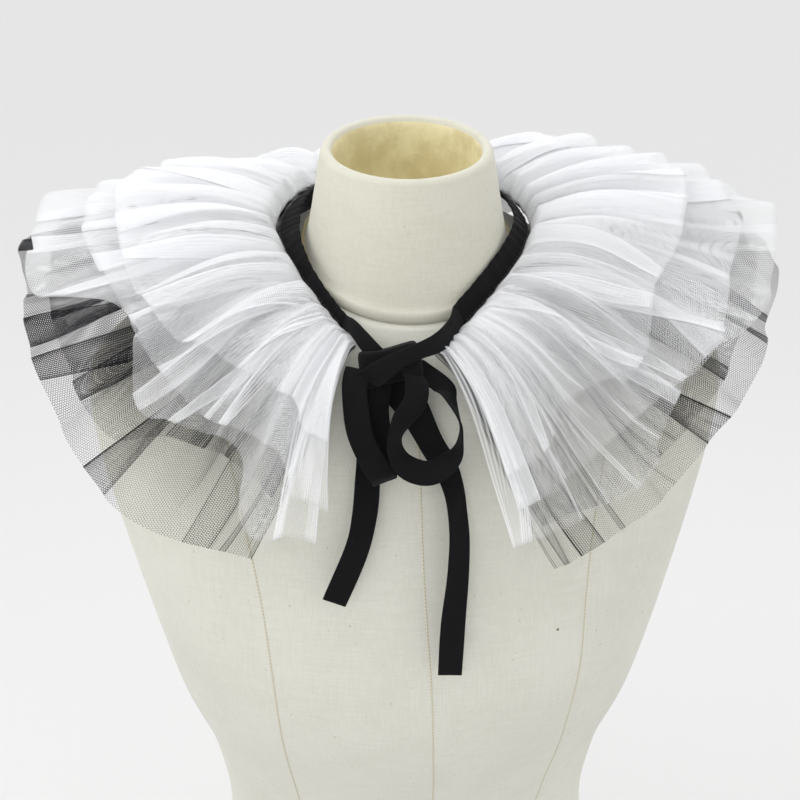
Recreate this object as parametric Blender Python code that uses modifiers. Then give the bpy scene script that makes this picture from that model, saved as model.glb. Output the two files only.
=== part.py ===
"""A gathered tulle ruff collar, tied with a bow, on a limbless dress form.

Metres, +Z up. The form faces -Y and stands on z = 0, with the middle of its
flat base at the origin. An azimuth goes round the neck from the front, in
degrees: 0 is the front, 90 is +X, 180 is the back and 270 is -X.
"""

from collections import namedtuple
from math import cos, pi, radians, sin

import bmesh
import bpy
from mathutils import Vector

MM = 0.001
GAP = 0.3 * MM                  # between pieces that meet

# ---------------------------------------------------------------- dress form

FORM_SIDES = 40                 # points round a section of the body
NECK_SIDES = 32                 # points round a section of the neck
SEAT_HEIGHT = 0.652             # where the neck sits on the body, at its sides
SEAT_TILT = 0.29                # how that seat rises to the back, per metre

# A section is a level oval, or one that rises to the back by its tilt.
Section = namedtuple("Section", "height half_width front back tilt")

TORSO = [
    Section(0.000, 0.166, 0.100, 0.120, 0.0),
    Section(0.006, 0.172, 0.106, 0.126, 0.0),
    Section(0.060, 0.176, 0.108, 0.130, 0.0),
    Section(0.150, 0.150, 0.098, 0.105, 0.0),
    Section(0.232, 0.1245, 0.086, 0.085, 0.0),
    Section(0.300, 0.1335, 0.102, 0.088, 0.0),
    Section(0.350, 0.1535, 0.124, 0.096, 0.0),
    Section(0.400, 0.1680, 0.134, 0.104, 0.0),
    Section(0.460, 0.1840, 0.128, 0.112, 0.0),
    Section(0.520, 0.1980, 0.117, 0.118, 0.0),
    Section(0.560, 0.2035, 0.108, 0.116, 0.02),
    Section(0.583, 0.2000, 0.101, 0.110, 0.05),
    Section(0.598, 0.1860, 0.096, 0.104, 0.10),
    Section(0.612, 0.1600, 0.091, 0.097, 0.15),
    Section(0.628, 0.1260, 0.085, 0.089, 0.21),
    Section(0.642, 0.0930, 0.079, 0.081, 0.26),
    Section(SEAT_HEIGHT, 0.0700, 0.0745, 0.0745, SEAT_TILT),
]

# Up the outside of the neck, over its round rim and down the inside.
NECK = [
    Section(SEAT_HEIGHT + GAP, 0.0655, 0.0710, 0.0700, SEAT_TILT),
    Section(0.6550, 0.0670, 0.0725, 0.0715, 0.285),
    Section(0.6585, 0.0665, 0.0720, 0.0710, 0.28),
    Section(0.6615, 0.0632, 0.0685, 0.0675, 0.265),
    Section(0.6750, 0.0603, 0.0640, 0.0635, 0.21),
    Section(0.6950, 0.0570, 0.0595, 0.0595, 0.15),
    Section(0.7140, 0.0540, 0.0545, 0.0545, 0.09),
    Section(0.7190, 0.0525, 0.0530, 0.0530, 0.088),
    Section(0.7205, 0.0495, 0.0500, 0.0500, 0.088),
    Section(0.7185, 0.0465, 0.0470, 0.0470, 0.088),
    Section(0.7100, 0.0450, 0.0455, 0.0455, 0.095),
    Section(0.6800, 0.0450, 0.0460, 0.0460, 0.18),
    Section(0.6640, 0.0430, 0.0440, 0.0440, 0.27),
]

# ---------------------------------------------------------------- neckband

BAND_HALF_WIDTH = 0.0785        # middle of the loop to its side
BAND_FRONT = 0.0950
BAND_BACK = 0.0760
BAND_SHIFT = -0.002             # the loop hangs a little to -X
KNOT_SHIFT = -0.009             # and its knotted front a little more
BAND_HEIGHT = 0.664             # lower edge, at the sides
BAND_FALL = 0.047               # how far the loop drops to the front
BAND_RISE = 0.016               # and rises to the back
BAND_PINCH = 0.36               # how the knot draws its front together
PINCH_POWER = 1.5               # how near the front it does so
FALL_POWER = 1.6                # and how near the front the loop falls
BAND_THICKNESS = 0.002
BAND_ENDS = (14, 336)           # azimuths where it meets the knot
BAND_STEP = 6                   # degrees between its sections

# How far the band stands up from level, in degrees, and how wide it lies there.
Lean = namedtuple("Lean", "azimuth lean width")
LEANS = [
    Lean(14, 66, 0.0120),
    Lean(30, 64, 0.0140),
    Lean(50, 62, 0.0150),
    Lean(90, 46, 0.0135),
    Lean(180, 50, 0.0140),
    Lean(250, 32, 0.0150),
    Lean(270, 28, 0.0155),
    Lean(290, 42, 0.0140),
    Lean(312, 60, 0.0115),
    Lean(336, 66, 0.0095),
]

# ---------------------------------------------------------------- tulle

NET_WALL = 1.2 * MM
COLUMNS_A_FOLD = 5
ROWS = (0.0, 0.10, 0.34, 0.66, 1.0)    # shares of a strip's length
BEND_LENGTH = 0.070             # over which a strip turns from leaving to drooping
ROOT_OUT = 0.0022               # the gathers start this far outside the band
FOLD_SWAY = 0.25                # how far a fold's sides lean over, as a share of it
WAY_PIECES = 12                 # short straight runs that a strip's way is summed from

# Half the height of a full fold, by the share of a strip's length.
Swell = namedtuple("Swell", "share height")

SWELLS = [
    Swell(0.00, 1.8 * MM),
    Swell(0.10, 2.8 * MM),
    Swell(0.34, 5.2 * MM),
    Swell(0.66, 6.2 * MM),
    Swell(1.06, 5.0 * MM),
]

# How the ruff leaves the band and droops, in degrees, by azimuth. The spread
# says how far its layers fan apart there, and the reach how long they are.
Drape = namedtuple("Drape", "azimuth heading leave droop spread reach")

DRAPES = [
    Drape(20, 28, -24, -56, 0.8, 0.80),
    Drape(30, 38, -18, -52, 0.8, 0.86),
    Drape(44, 50, -8, -45, 0.8, 0.91),
    Drape(60, 66, 3, -33, 0.9, 0.91),
    Drape(80, 84, 12, -18, 1.0, 0.94),
    Drape(98, 98, 14, -8, 1.0, 0.95),
    Drape(118, 116, 8, -12, 1.0, 0.88),
    Drape(140, 140, -2, -15, 1.0, 0.88),
    Drape(165, 167, -12, -34, 0.9, 0.76),
    Drape(195, 193, -14, -42, 0.9, 0.72),
    Drape(220, 218, -6, -27, 1.0, 0.76),
    Drape(242, 243, 6, -15, 1.0, 0.86),
    Drape(253, 254, 11, -6, 1.0, 0.94),
    Drape(262, 262, 14, -11, 1.0, 0.93),
    Drape(280, 276, 12, -17, 1.0, 0.95),
    Drape(298, 292, 4, -30, 0.9, 0.98),
    Drape(314, 310, -8, -45, 0.8, 0.97),
    Drape(324, 323, -18, -52, 0.8, 0.88),
    Drape(332, 332, -24, -56, 0.8, 0.74),
]

# The gathered folds, from the strips' right front edge round the back to the
# left one, by the azimuth of each crest at the band.
Fold = namedtuple("Fold", "azimuth height")

FOLDS = [
    Fold(21, 0.45), Fold(30.5, 0.6), Fold(38, 0.55), Fold(47, 0.95), Fold(55, 0.6),
    Fold(64, 1.1), Fold(75, 0.8), Fold(86, 1.05), Fold(99, 0.7), Fold(108, 1.1),
    Fold(121, 0.8), Fold(131, 1.2), Fold(146, 0.75), Fold(159, 1.1), Fold(171, 0.8),
    Fold(186, 1.0), Fold(200, 0.8), Fold(212, 1.15), Fold(226, 0.75), Fold(240, 1.1),
    Fold(249, 0.8), Fold(262, 1.15), Fold(272, 0.8), Fold(284, 1.05), Fold(296, 1.1),
    Fold(307, 0.95), Fold(316, 0.6), Fold(323.5, 0.5), Fold(331, 0.45),
]

# How far each strip's hem reaches there, as a share of the lengths below.
Hem = namedtuple(
    "Hem", "azimuth black_tulle_long black_tulle_short white_tulle_long white_tulle_mid white_tulle_short")

HEMS = [
    Hem(20, 1.00, 0.95, 1.00, 1.00, 1.02),
    Hem(30, 1.00, 0.95, 0.98, 0.95, 0.96),
    Hem(37, 1.00, 0.97, 0.97, 0.92, 0.78),
    Hem(44, 1.00, 1.00, 1.00, 0.90, 0.82),
    Hem(50, 1.00, 1.00, 0.91, 0.93, 0.96),
    Hem(57, 1.00, 1.00, 0.87, 1.00, 0.94),
    Hem(65, 1.00, 1.02, 0.90, 1.06, 0.84),
    Hem(76, 1.00, 1.00, 1.04, 1.00, 0.88),
    Hem(98, 1.00, 1.00, 1.05, 1.00, 0.95),
    Hem(140, 1.00, 1.00, 1.00, 1.00, 1.00),
    Hem(220, 1.00, 1.00, 1.00, 1.00, 1.00),
    Hem(240, 1.02, 1.00, 1.02, 0.99, 0.97),
    Hem(254, 1.10, 1.01, 1.05, 0.97, 0.95),
    Hem(266, 1.02, 1.00, 1.05, 0.94, 0.95),
    Hem(280, 1.00, 1.00, 0.99, 0.86, 0.91),
    Hem(286, 1.00, 0.99, 0.72, 0.82, 0.90),
    Hem(292, 1.00, 0.98, 0.66, 0.78, 0.88),
    Hem(297, 1.00, 0.99, 0.70, 0.78, 0.85),
    Hem(302, 1.00, 0.97, 0.81, 0.78, 0.80),
    Hem(308, 1.00, 0.80, 0.78, 0.77, 0.68),
    Hem(314, 0.97, 0.72, 0.83, 0.75, 0.62),
    Hem(320, 0.94, 0.74, 0.95, 0.70, 0.59),
    Hem(326, 0.97, 0.85, 1.00, 0.75, 0.60),
    Hem(331, 1.00, 0.92, 1.02, 0.98, 0.80),
]

# A sweep is how far a strip's front end is swept back at the hem, in degrees.
Net = namedtuple("Net", "name length lift rise slip sweep colour")
SWEEP_FADE = 40                 # degrees from a strip's front end over which it fades
WHITE_NET = (0.90, 0.92, 0.97)
BLACK_NET = (0.03, 0.03, 0.035)

NETS = [
    Net("black_tulle_long", 0.176, -6, -1.6 * MM, -8, 8, BLACK_NET),
    Net("black_tulle_short", 0.156, -2.5, 1.2 * MM, 2, 6, BLACK_NET),
    Net("white_tulle_long", 0.160, 1, 4.0 * MM, -6, 0, WHITE_NET),
    Net("white_tulle_mid", 0.138, 4.5, 6.8 * MM, 2, 0, WHITE_NET),
    Net("white_tulle_short", 0.112, 8, 9.8 * MM, 0, 0, WHITE_NET),
]

# ---------------------------------------------------------------- bow

RIBBON_WIDTH = 0.0150
RIBBON_THICKNESS = 0.0012
KNOT_CENTRE = (-0.0140, -0.1010, 0.6205)
KNOT_SIZE = (0.060, 0.024, 0.028)
KNOT_TURN = -12                 # degrees, its right end up
KNOT_LEAN = -20                 # degrees, its top back

# A stop on a ribbon's way, and the way that the ribbon's width points there.
Stop = namedtuple("Stop", "x y z wide_x wide_y wide_z")
NumberedStop = namedtuple("NumberedStop", ("number",) + Stop._fields)

LOOP_LEFT = [
    Stop(-0.0365, -0.1120, 0.6225, 1.0, 0.0, 0.1),
    Stop(-0.0390, -0.1185, 0.6140, 1.0, 0.0, 0.0),
    Stop(-0.0386, -0.1250, 0.6010, 1.0, 0.0, 0.0),
    Stop(-0.0361, -0.1300, 0.5865, 1.0, 0.0, 0.2),
    Stop(-0.0300, -0.1345, 0.5735, 0.9, 0.1, 0.3),
    Stop(-0.0240, -0.1355, 0.5635, 0.9, 0.1, 0.3),
    Stop(-0.0225, -0.1290, 0.5570, 0.9, 0.1, 0.3),
    Stop(-0.0225, -0.1220, 0.5630, 0.9, 0.1, 0.3),
    Stop(-0.0245, -0.1185, 0.5790, 1.0, 0.0, 0.2),
    Stop(-0.0262, -0.1160, 0.5940, 1.0, 0.0, 0.0),
    Stop(-0.0255, -0.1135, 0.6050, 1.0, 0.0, 0.0),
]
LOOP_RIGHT = [
    Stop(0.0110, -0.1105, 0.6110, 0.4, 0.8, 0.3),
    Stop(0.0166, -0.1200, 0.6055, 0.3, 0.9, 0.0),
    Stop(0.0224, -0.1290, 0.5900, 0.0, 0.9, -0.3),
    Stop(0.0184, -0.1350, 0.5757, -0.1, 0.9, 0.3),
    Stop(0.0035, -0.1390, 0.5665, 0.0, 0.5, 0.9),
    Stop(-0.0120, -0.1385, 0.5725, 0.4, 0.7, 0.6),
    Stop(-0.0168, -0.1350, 0.5862, 0.6, 0.8, 0.1),
    Stop(-0.0117, -0.1310, 0.5980, 0.8, 0.4, -0.4),
    Stop(-0.0032, -0.1260, 0.6077, 0.8, 0.1, -0.5),
    Stop(0.0025, -0.1235, 0.6160, 0.8, 0.1, -0.5),
]
TAIL_LEFT = [
    Stop(-0.0235, -0.1050, 0.6060, 1.0, 0.0, 0.0),
    Stop(-0.0292, -0.1095, 0.5814, 1.0, 0.0, 0.0),
    Stop(-0.0314, -0.1150, 0.5561, 1.0, 0.0, 0.0),
    Stop(-0.0340, -0.1240, 0.5325, 1.0, 0.0, -0.1),
    Stop(-0.0398, -0.1310, 0.5109, 1.0, 0.0, -0.3),
    Stop(-0.0536, -0.1360, 0.4791, 0.9, 0.0, -0.5),
]
TAIL_RIGHT = [
    Stop(-0.0080, -0.1050, 0.6050, 0.9, 0.0, 0.4),
    Stop(-0.0020, -0.1085, 0.5919, 0.9, 0.0, 0.5),
    Stop(0.0067, -0.1140, 0.5727, 0.9, 0.1, 0.4),
    Stop(0.0161, -0.1220, 0.5570, 0.8, 0.4, 0.3),
    Stop(0.0211, -0.1300, 0.5337, 0.8, 0.6, 0.0),
    Stop(0.0214, -0.1370, 0.5035, 0.9, 0.4, 0.0),
    Stop(0.0178, -0.1430, 0.4648, 1.0, 0.1, 0.0),
    Stop(0.0160, -0.1460, 0.4312, 1.0, 0.0, 0.0),
]
RIBBON_STEPS = 3                # sections from one stop to the next

LINEN = (0.68, 0.66, 0.60)
NECK_LINEN = (0.72, 0.69, 0.60)
BLACK_COTTON = (0.012, 0.012, 0.013)


def clear_scene():
    """Take away whatever the file holds."""
    for thing in list(bpy.data.objects):
        bpy.data.objects.remove(thing, do_unlink=True)


def material(name, colour, roughness):
    """A plain finish for one piece."""
    finish = bpy.data.materials.new(name)
    finish.use_nodes = True
    shader = finish.node_tree.nodes["Principled BSDF"]
    shader.inputs["Base Color"].default_value = (*colour, 1.0)
    shader.inputs["Roughness"].default_value = roughness
    shader.inputs["Metallic"].default_value = 0.0
    finish.diffuse_color = (*colour, 1.0)
    return finish


def add_piece(name, mesh_edit, colour, roughness, smooth=True):
    """Turn an edited mesh into a named object of the collection."""
    mesh = bpy.data.meshes.new(name)
    mesh_edit.to_mesh(mesh)
    mesh_edit.free()
    if smooth:
        mesh.shade_smooth()
    mesh.materials.append(material(name + "_finish", colour, roughness))
    piece = bpy.data.objects.new(name, mesh)
    collection.objects.link(piece)
    return piece


def blend(table, key, column, value):
    """Read a column of a table between its rows, on a smooth curve."""
    keys = [getattr(row, key) for row in table]
    values = [getattr(row, column) for row in table]
    value = min(max(value, keys[0]), keys[-1])
    here = 0
    while here < len(keys) - 2 and keys[here + 1] < value:
        here += 1
    span = keys[here + 1] - keys[here]
    t = (value - keys[here]) / span
    start, stop = values[here], values[here + 1]
    before = max(here - 1, 0)
    after = min(here + 2, len(keys) - 1)
    slope_in = (stop - values[before]) / (keys[here + 1] - keys[before]) * span
    slope_out = (values[after] - start) / (keys[after] - keys[here]) * span
    return ((2 * t**3 - 3 * t**2 + 1) * start + (t**3 - 2 * t**2 + t) * slope_in
            + (3 * t**2 - 2 * t**3) * stop + (t**3 - t**2) * slope_out)


def oval(section, sides):
    """The points of one section of the form."""
    points = []
    for step in range(sides):
        turn = 2 * pi * step / sides
        depth = section.back if sin(turn) > 0 else section.front
        y = depth * sin(turn)
        points.append(Vector((section.half_width * cos(turn), y, section.height + section.tilt * y)))
    return points


def loft(sections, closed):
    """Faces from each section to the next; the sections may be closed rings."""
    edit = bmesh.new()
    rings = [[edit.verts.new(point) for point in points] for points in sections]
    count = len(rings[0])
    for lower, upper in zip(rings, rings[1:]):
        for here in range(count if closed else count - 1):
            there = (here + 1) % count
            edit.faces.new((lower[here], lower[there], upper[there], upper[here]))
    if closed:
        edit.faces.new(list(reversed(rings[0])))
        edit.faces.new(rings[-1])
        bmesh.ops.recalc_face_normals(edit, faces=edit.faces)
    return edit


def make_form():
    """The body of the form, and its neck, which is a cup with an open top."""
    body = loft([oval(section, FORM_SIDES) for section in TORSO], closed=True)
    add_piece("form_torso", body, LINEN, 0.85)
    neck = loft([oval(section, NECK_SIDES) for section in NECK], closed=True)
    add_piece("form_neck", neck, NECK_LINEN, 0.8)


def outward(heading):
    """The level direction away from the neck at an azimuth."""
    return Vector((sin(radians(heading)), -cos(radians(heading)), 0.0))


def band_edge(azimuth):
    """The lower edge of the neckband at an azimuth."""
    turn = radians(azimuth)
    ahead = max(cos(turn), 0.0)
    behind = max(-cos(turn), 0.0)
    half_width = BAND_HALF_WIDTH * (1 - BAND_PINCH * ahead**PINCH_POWER)
    x = BAND_SHIFT + KNOT_SHIFT * ahead**2 + half_width * sin(turn)
    y = BAND_BACK * behind - BAND_FRONT * ahead
    return Vector((x, y, BAND_HEIGHT - BAND_FALL * ahead**FALL_POWER + BAND_RISE * behind))


def make_band():
    """A flat binding, a strip that leans on the root of the neck."""
    first, last = BAND_ENDS
    steps = round((last - first) / BAND_STEP)
    sections = []
    for step in range(steps + 1):
        azimuth = first + (last - first) * step / steps
        lean = radians(blend(LEANS, "azimuth", "lean", azimuth))
        out = outward(azimuth)
        along = Vector((-out.y, out.x, 0.0))
        up_band = -out * cos(lean) + Vector((0, 0, sin(lean)))
        face = along.cross(up_band).normalized() * BAND_THICKNESS / 2
        low = band_edge(azimuth)
        high = low + up_band * blend(LEANS, "azimuth", "width", azimuth)
        sections.append([low - face, high - face, high + face, low + face])
    edit = loft(sections, closed=True)
    add_piece("neckband", edit, BLACK_COTTON, 0.9, smooth=False)


def fold_columns():
    """The azimuths at which the strips are built, evenly across each fold."""
    columns = []
    for fold, following in zip(FOLDS, FOLDS[1:]):
        for column in range(COLUMNS_A_FOLD):
            part = column / COLUMNS_A_FOLD
            columns.append(fold.azimuth + (following.azimuth - fold.azimuth) * part)
    return columns + [FOLDS[-1].azimuth]


def fold_part(azimuth):
    """Where an azimuth lies in its fold: 0 on a crest, 0.5 in the trough after it."""
    for fold, following in zip(FOLDS, FOLDS[1:]):
        if azimuth < following.azimuth:
            return (azimuth - fold.azimuth) / (following.azimuth - fold.azimuth)
    return 0.0


def swept_back(net, azimuth, share):
    """The azimuth that a strip has reached at a share of its length."""
    from_right = max(1 - (azimuth - FOLDS[0].azimuth) / SWEEP_FADE, 0.0)
    from_left = max(1 - (FOLDS[-1].azimuth - azimuth) / SWEEP_FADE, 0.0)
    return azimuth + net.sweep * share * (from_right - from_left)


def net_point(net, azimuth, share):
    """A point of a gathered strip, at a share of the way from the band to its hem."""
    azimuth = swept_back(net, azimuth, share)
    heading = blend(DRAPES, "azimuth", "heading", azimuth)
    spread = blend(DRAPES, "azimuth", "spread", azimuth)
    leave = blend(DRAPES, "azimuth", "leave", azimuth) + net.lift * spread
    droop = blend(DRAPES, "azimuth", "droop", azimuth) + net.lift * spread
    share = share * blend(HEMS, "azimuth", net.name, azimuth)
    way = net.length * blend(DRAPES, "azimuth", "reach", azimuth) * share
    out = outward(heading)
    across = Vector((-out.y, out.x, 0.0))
    point = band_edge(azimuth) + outward(azimuth) * ROOT_OUT
    for piece in range(WAY_PIECES):
        bent = min((piece + 0.5) / WAY_PIECES * way / BEND_LENGTH, 1.0)
        bent = bent * bent * (3 - 2 * bent)
        slope = radians(leave + (droop - leave) * bent)
        point = point + (out * cos(slope) + Vector((0, 0, sin(slope)))) * way / WAY_PIECES
    upright = Vector((0, 0, cos(slope))) - out * sin(slope)
    phase = 2 * pi * fold_part(azimuth) + radians(net.slip) * share
    height = blend(FOLDS, "azimuth", "height", azimuth)
    swell = blend(SWELLS, "share", "height", share) * height
    sway = swell * FOLD_SWAY * sin(2 * phase)
    return point + upright * (net.rise + swell * cos(phase)) + across * sway


def make_net(net):
    """One strip of net, from its right front edge round the back to its left one."""
    sections = [[net_point(net, azimuth, share) for share in ROWS] for azimuth in fold_columns()]
    piece = add_piece(net.name, loft(sections, closed=False), net.colour, 0.8)
    wall = piece.modifiers.new("Net wall", "SOLIDIFY")
    wall.thickness = NET_WALL
    wall.offset = 0.0
    wall.use_even_offset = False


def make_knot():
    """The soft lump of the tied band."""
    edit = bmesh.new()
    bmesh.ops.create_cube(edit, size=1.0)
    bmesh.ops.scale(edit, vec=KNOT_SIZE, verts=edit.verts)
    knot = add_piece("knot", edit, BLACK_COTTON, 0.9)
    soft = knot.modifiers.new("Soft knot", "SUBSURF")
    soft.levels = 2
    soft.render_levels = 2
    knot.location = KNOT_CENTRE
    knot.rotation_euler = (radians(KNOT_LEAN), radians(KNOT_TURN), 0)


def make_ribbon(name, stops):
    """A flat ribbon along its stops."""
    table = [NumberedStop(number, *stop) for number, stop in enumerate(stops)]
    steps = (len(stops) - 1) * RIBBON_STEPS
    way = []
    for step in range(steps + 1):
        at = step / RIBBON_STEPS
        way.append(Vector([blend(table, "number", axis, at) for axis in "xyz"]))
    sections = []
    for step, point in enumerate(way):
        along = (way[min(step + 1, steps)] - way[max(step - 1, 0)]).normalized()
        at = step / RIBBON_STEPS
        wide = Vector([blend(table, "number", "wide_" + axis, at) for axis in "xyz"])
        wide = (wide - along * wide.dot(along)).normalized()
        side = wide * RIBBON_WIDTH / 2
        face = along.cross(wide) * RIBBON_THICKNESS / 2
        sections.append([point - side - face, point + side - face, point + side + face, point - side + face])
    add_piece(name, loft(sections, closed=True), BLACK_COTTON, 0.9, smooth=False)


clear_scene()
collection = bpy.data.collections.new("tulle_ruff_collar")
bpy.context.scene.collection.children.link(collection)
make_form()
make_band()
for strip in NETS:
    make_net(strip)
make_knot()
make_ribbon("loop_left", LOOP_LEFT)
make_ribbon("loop_right", LOOP_RIGHT)
make_ribbon("tail_left", TAIL_LEFT)
make_ribbon("tail_right", TAIL_RIGHT)
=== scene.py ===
# %% [markdown]
# # A tulle ruff collar on a dress form
#
# The collar is five long strips of net, two black and three white, gathered
# into one black cotton binding that ties in a bow. It lies on a limbless form
# covered in linen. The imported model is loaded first, because it is the frame
# that every piece below is fitted to.

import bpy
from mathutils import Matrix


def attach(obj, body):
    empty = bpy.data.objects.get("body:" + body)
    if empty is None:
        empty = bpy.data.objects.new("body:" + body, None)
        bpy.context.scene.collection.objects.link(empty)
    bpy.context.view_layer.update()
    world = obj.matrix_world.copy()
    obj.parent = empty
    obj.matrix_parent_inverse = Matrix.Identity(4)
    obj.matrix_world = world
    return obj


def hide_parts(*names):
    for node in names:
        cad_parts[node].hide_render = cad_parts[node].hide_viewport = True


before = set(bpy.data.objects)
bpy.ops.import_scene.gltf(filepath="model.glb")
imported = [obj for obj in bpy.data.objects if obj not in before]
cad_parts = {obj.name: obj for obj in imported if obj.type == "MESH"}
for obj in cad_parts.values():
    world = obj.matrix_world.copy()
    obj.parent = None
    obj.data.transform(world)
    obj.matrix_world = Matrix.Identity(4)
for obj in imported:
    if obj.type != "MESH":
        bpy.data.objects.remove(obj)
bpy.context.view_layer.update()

from collections import namedtuple
from math import cos, pi, radians, sin

import bmesh
import bpy
import numpy as np
from mathutils import Euler, Vector

MM = 0.001

# %% [markdown]
# ## Camera
#
# The collar is seen from a little above its own height, so that the layers of
# net open like a fan. A long lens from more than a metre away keeps the neck
# and the shoulders in their true proportions.

# %% Camera
CAMERA_PLACE = (-0.0863, -1.1731, 1.1020)
CAMERA_TURN = (radians(64.8), 0.0, radians(-4.0))
LENS_LENGTH = 90                # mm
PICTURE_WIDTH = 36              # mm, at the back of the camera

camera_data = bpy.data.cameras.new("Camera")
camera_data.lens = LENS_LENGTH
camera_data.sensor_width = PICTURE_WIDTH
camera = bpy.data.objects.new("Camera", camera_data)
camera.location = CAMERA_PLACE
camera.rotation_euler = CAMERA_TURN
bpy.context.scene.collection.objects.link(camera)
bpy.context.scene.camera = camera
print("camera", camera_data.lens, "mm")

# %% [markdown]
# ## Light
#
# White net only shows its layers in bright, soft light: a pale sky gives most
# of it, and a large lamp up to the left gives the folds a lit side. A ray has
# to pass many sheets of net before it meets something solid, so the scene
# allows it more see-through steps than usual.

# %% Light
SEE_THROUGH_STEPS = 36
SOFT_BOUNCES = 5
SKY_STRENGTH = 1.10
COLLAR_MIDDLE = (0.0, 0.0, 0.62)
Lamp = namedtuple("Lamp", "name place power size")
LAMPS = [
    Lamp("Key lamp", (-0.75, -0.15, 1.35), 3.6, 0.7),
    Lamp("Back lamp", (0.45, 0.75, 1.25), 2.2, 0.7),
    Lamp("Front lamp", (-0.35, -1.35, 1.25), 2.0, 0.6),
]

scene = bpy.context.scene
scene.view_settings.view_transform = "Standard"
scene.cycles.transparent_max_bounces = SEE_THROUGH_STEPS
scene.cycles.diffuse_bounces = SOFT_BOUNCES

sky = bpy.data.worlds.new("Pale studio")
sky.use_nodes = True
sky.node_tree.nodes["Background"].inputs["Color"].default_value = (1.0, 1.0, 1.0, 1.0)
sky.node_tree.nodes["Background"].inputs["Strength"].default_value = SKY_STRENGTH
scene.world = sky


def hang_lamp(row):
    """A square soft lamp, turned to the middle of the collar."""
    lamp_data = bpy.data.lights.new(row.name, "AREA")
    lamp_data.energy = row.power
    lamp_data.size = row.size
    lamp = bpy.data.objects.new(row.name, lamp_data)
    lamp.location = row.place
    lamp.rotation_euler = (Vector(COLLAR_MIDDLE) - Vector(row.place)).to_track_quat("-Z", "Y").to_euler()
    scene.collection.objects.link(lamp)


for row in LAMPS:
    hang_lamp(row)
print("lamps", len(bpy.data.lights))

# %% [markdown]
# ## Helpers for finishes
#
# A finish is a small graph of nodes. These helpers add one node with its
# inputs set or linked, so that each finish below reads from top to bottom.

# %% Helpers for finishes


def new_finish(name):
    """An empty finish, its node tree and its output."""
    finish = bpy.data.materials.new(name)
    finish.use_nodes = True
    tree = finish.node_tree
    tree.nodes.clear()
    return finish, tree, tree.nodes.new("ShaderNodeOutputMaterial")


def add_node(tree, kind, inputs=None, **settings):
    """A node of a kind, with its inputs set to values or linked to sockets."""
    node = tree.nodes.new("ShaderNode" + kind)
    for key, value in settings.items():
        setattr(node, key, value)
    for key, value in (inputs or {}).items():
        if isinstance(value, bpy.types.NodeSocket):
            tree.links.new(value, node.inputs[key])
        else:
            node.inputs[key].default_value = value
    return node


def maths(tree, operation, first, second=0.0, third=0.0):
    """The result of one Math node."""
    return add_node(tree, "Math", {0: first, 1: second, 2: third}, operation=operation).outputs[0]


def ramp(tree, value, low, high, at_low=0.0, at_high=1.0):
    """A value read smoothly from one range into another."""
    inputs = {"Value": value, "From Min": low, "From Max": high, "To Min": at_low, "To Max": at_high}
    return add_node(tree, "MapRange", inputs, interpolation_type="SMOOTHSTEP").outputs["Result"]


def noise(tree, place, scale, detail=2.0, rough=0.5):
    """Soft random values at a place."""
    inputs = {"Vector": place, "Scale": scale, "Detail": detail, "Roughness": rough}
    return add_node(tree, "TexNoise", inputs).outputs["Fac"]


def blend_colours(tree, share, first, second):
    """One colour turned into another by a share."""
    node = add_node(tree, "Mix", {"Factor": share}, data_type="RGBA")
    for socket, value in ((node.inputs[6], first), (node.inputs[7], second)):
        if isinstance(value, bpy.types.NodeSocket):
            tree.links.new(value, socket)
        else:
            socket.default_value = (*value, 1.0)
    return node.outputs[2]


def stretched(tree, place, scale):
    """A place stretched by a scale of its own along each axis."""
    return add_node(tree, "Mapping", {"Vector": place, "Scale": scale}).outputs["Vector"]


def cover(tree, output, inputs):
    """Send a surface with these inputs to the finish's output."""
    shell = add_node(tree, "BsdfPrincipled", inputs)
    tree.links.new(shell.outputs[0], output.inputs["Surface"])


def plain_finish(name, colour, roughness, sheen=0.0):
    """One colour all over."""
    finish, tree, output = new_finish(name)
    cover(tree, output, {"Base Color": (*colour, 1.0), "Roughness": roughness, "Sheen Weight": sheen})
    return finish

# %% [markdown]
# ## The floor
#
# The form stands on one pale disc, far wider than the picture. It only catches
# light and shadow.

# %% The floor
FLOOR_RADIUS = 6.0
FLOOR_COLOUR = (0.70, 0.70, 0.70)

floor_edit = bmesh.new()
bmesh.ops.create_circle(floor_edit, cap_ends=True, segments=64, radius=FLOOR_RADIUS)
floor_mesh = bpy.data.meshes.new("floor")
floor_edit.to_mesh(floor_mesh)
floor_edit.free()
floor_mesh.materials.append(plain_finish("pale floor", FLOOR_COLOUR, 0.9))
floor = bpy.data.objects.new("floor", floor_mesh)
scene.collection.objects.link(floor)
print("floor", 2 * FLOOR_RADIUS, "m across")

# %% [markdown]
# ## Helpers for tables and cloth
#
# The form, the strips and the ribbons are all described by short tables, read
# between their rows on a smooth curve. A piece of cloth starts as a flat grid,
# and its points are then laid on the surface that the tables describe.

# %% Helpers for tables and cloth


def read_table(table, key, column, at):
    """A column of a table at an array of keys, on a smooth curve."""
    keys = np.array([getattr(row, key) for row in table], float)
    values = np.array([getattr(row, column) for row in table], float)
    at = np.clip(at, keys[0], keys[-1])
    here = np.clip(np.searchsorted(keys, at, side="left") - 1, 0, len(keys) - 2)
    before = np.maximum(here - 1, 0)
    after = np.minimum(here + 2, len(keys) - 1)
    span = keys[here + 1] - keys[here]
    t = (at - keys[here]) / span
    slope_in = (values[here + 1] - values[before]) / (keys[here + 1] - keys[before]) * span
    slope_out = (values[after] - values[here]) / (keys[after] - keys[here]) * span
    return ((2 * t**3 - 3 * t**2 + 1) * values[here] + (t**3 - 2 * t**2 + t) * slope_in
            + (3 * t**2 - 2 * t**3) * values[here + 1] + (t**3 - t**2) * slope_out)


def eased(share):
    """A share from 0 to 1 that starts and ends gently."""
    return share * share * (3 - 2 * share)


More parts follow.
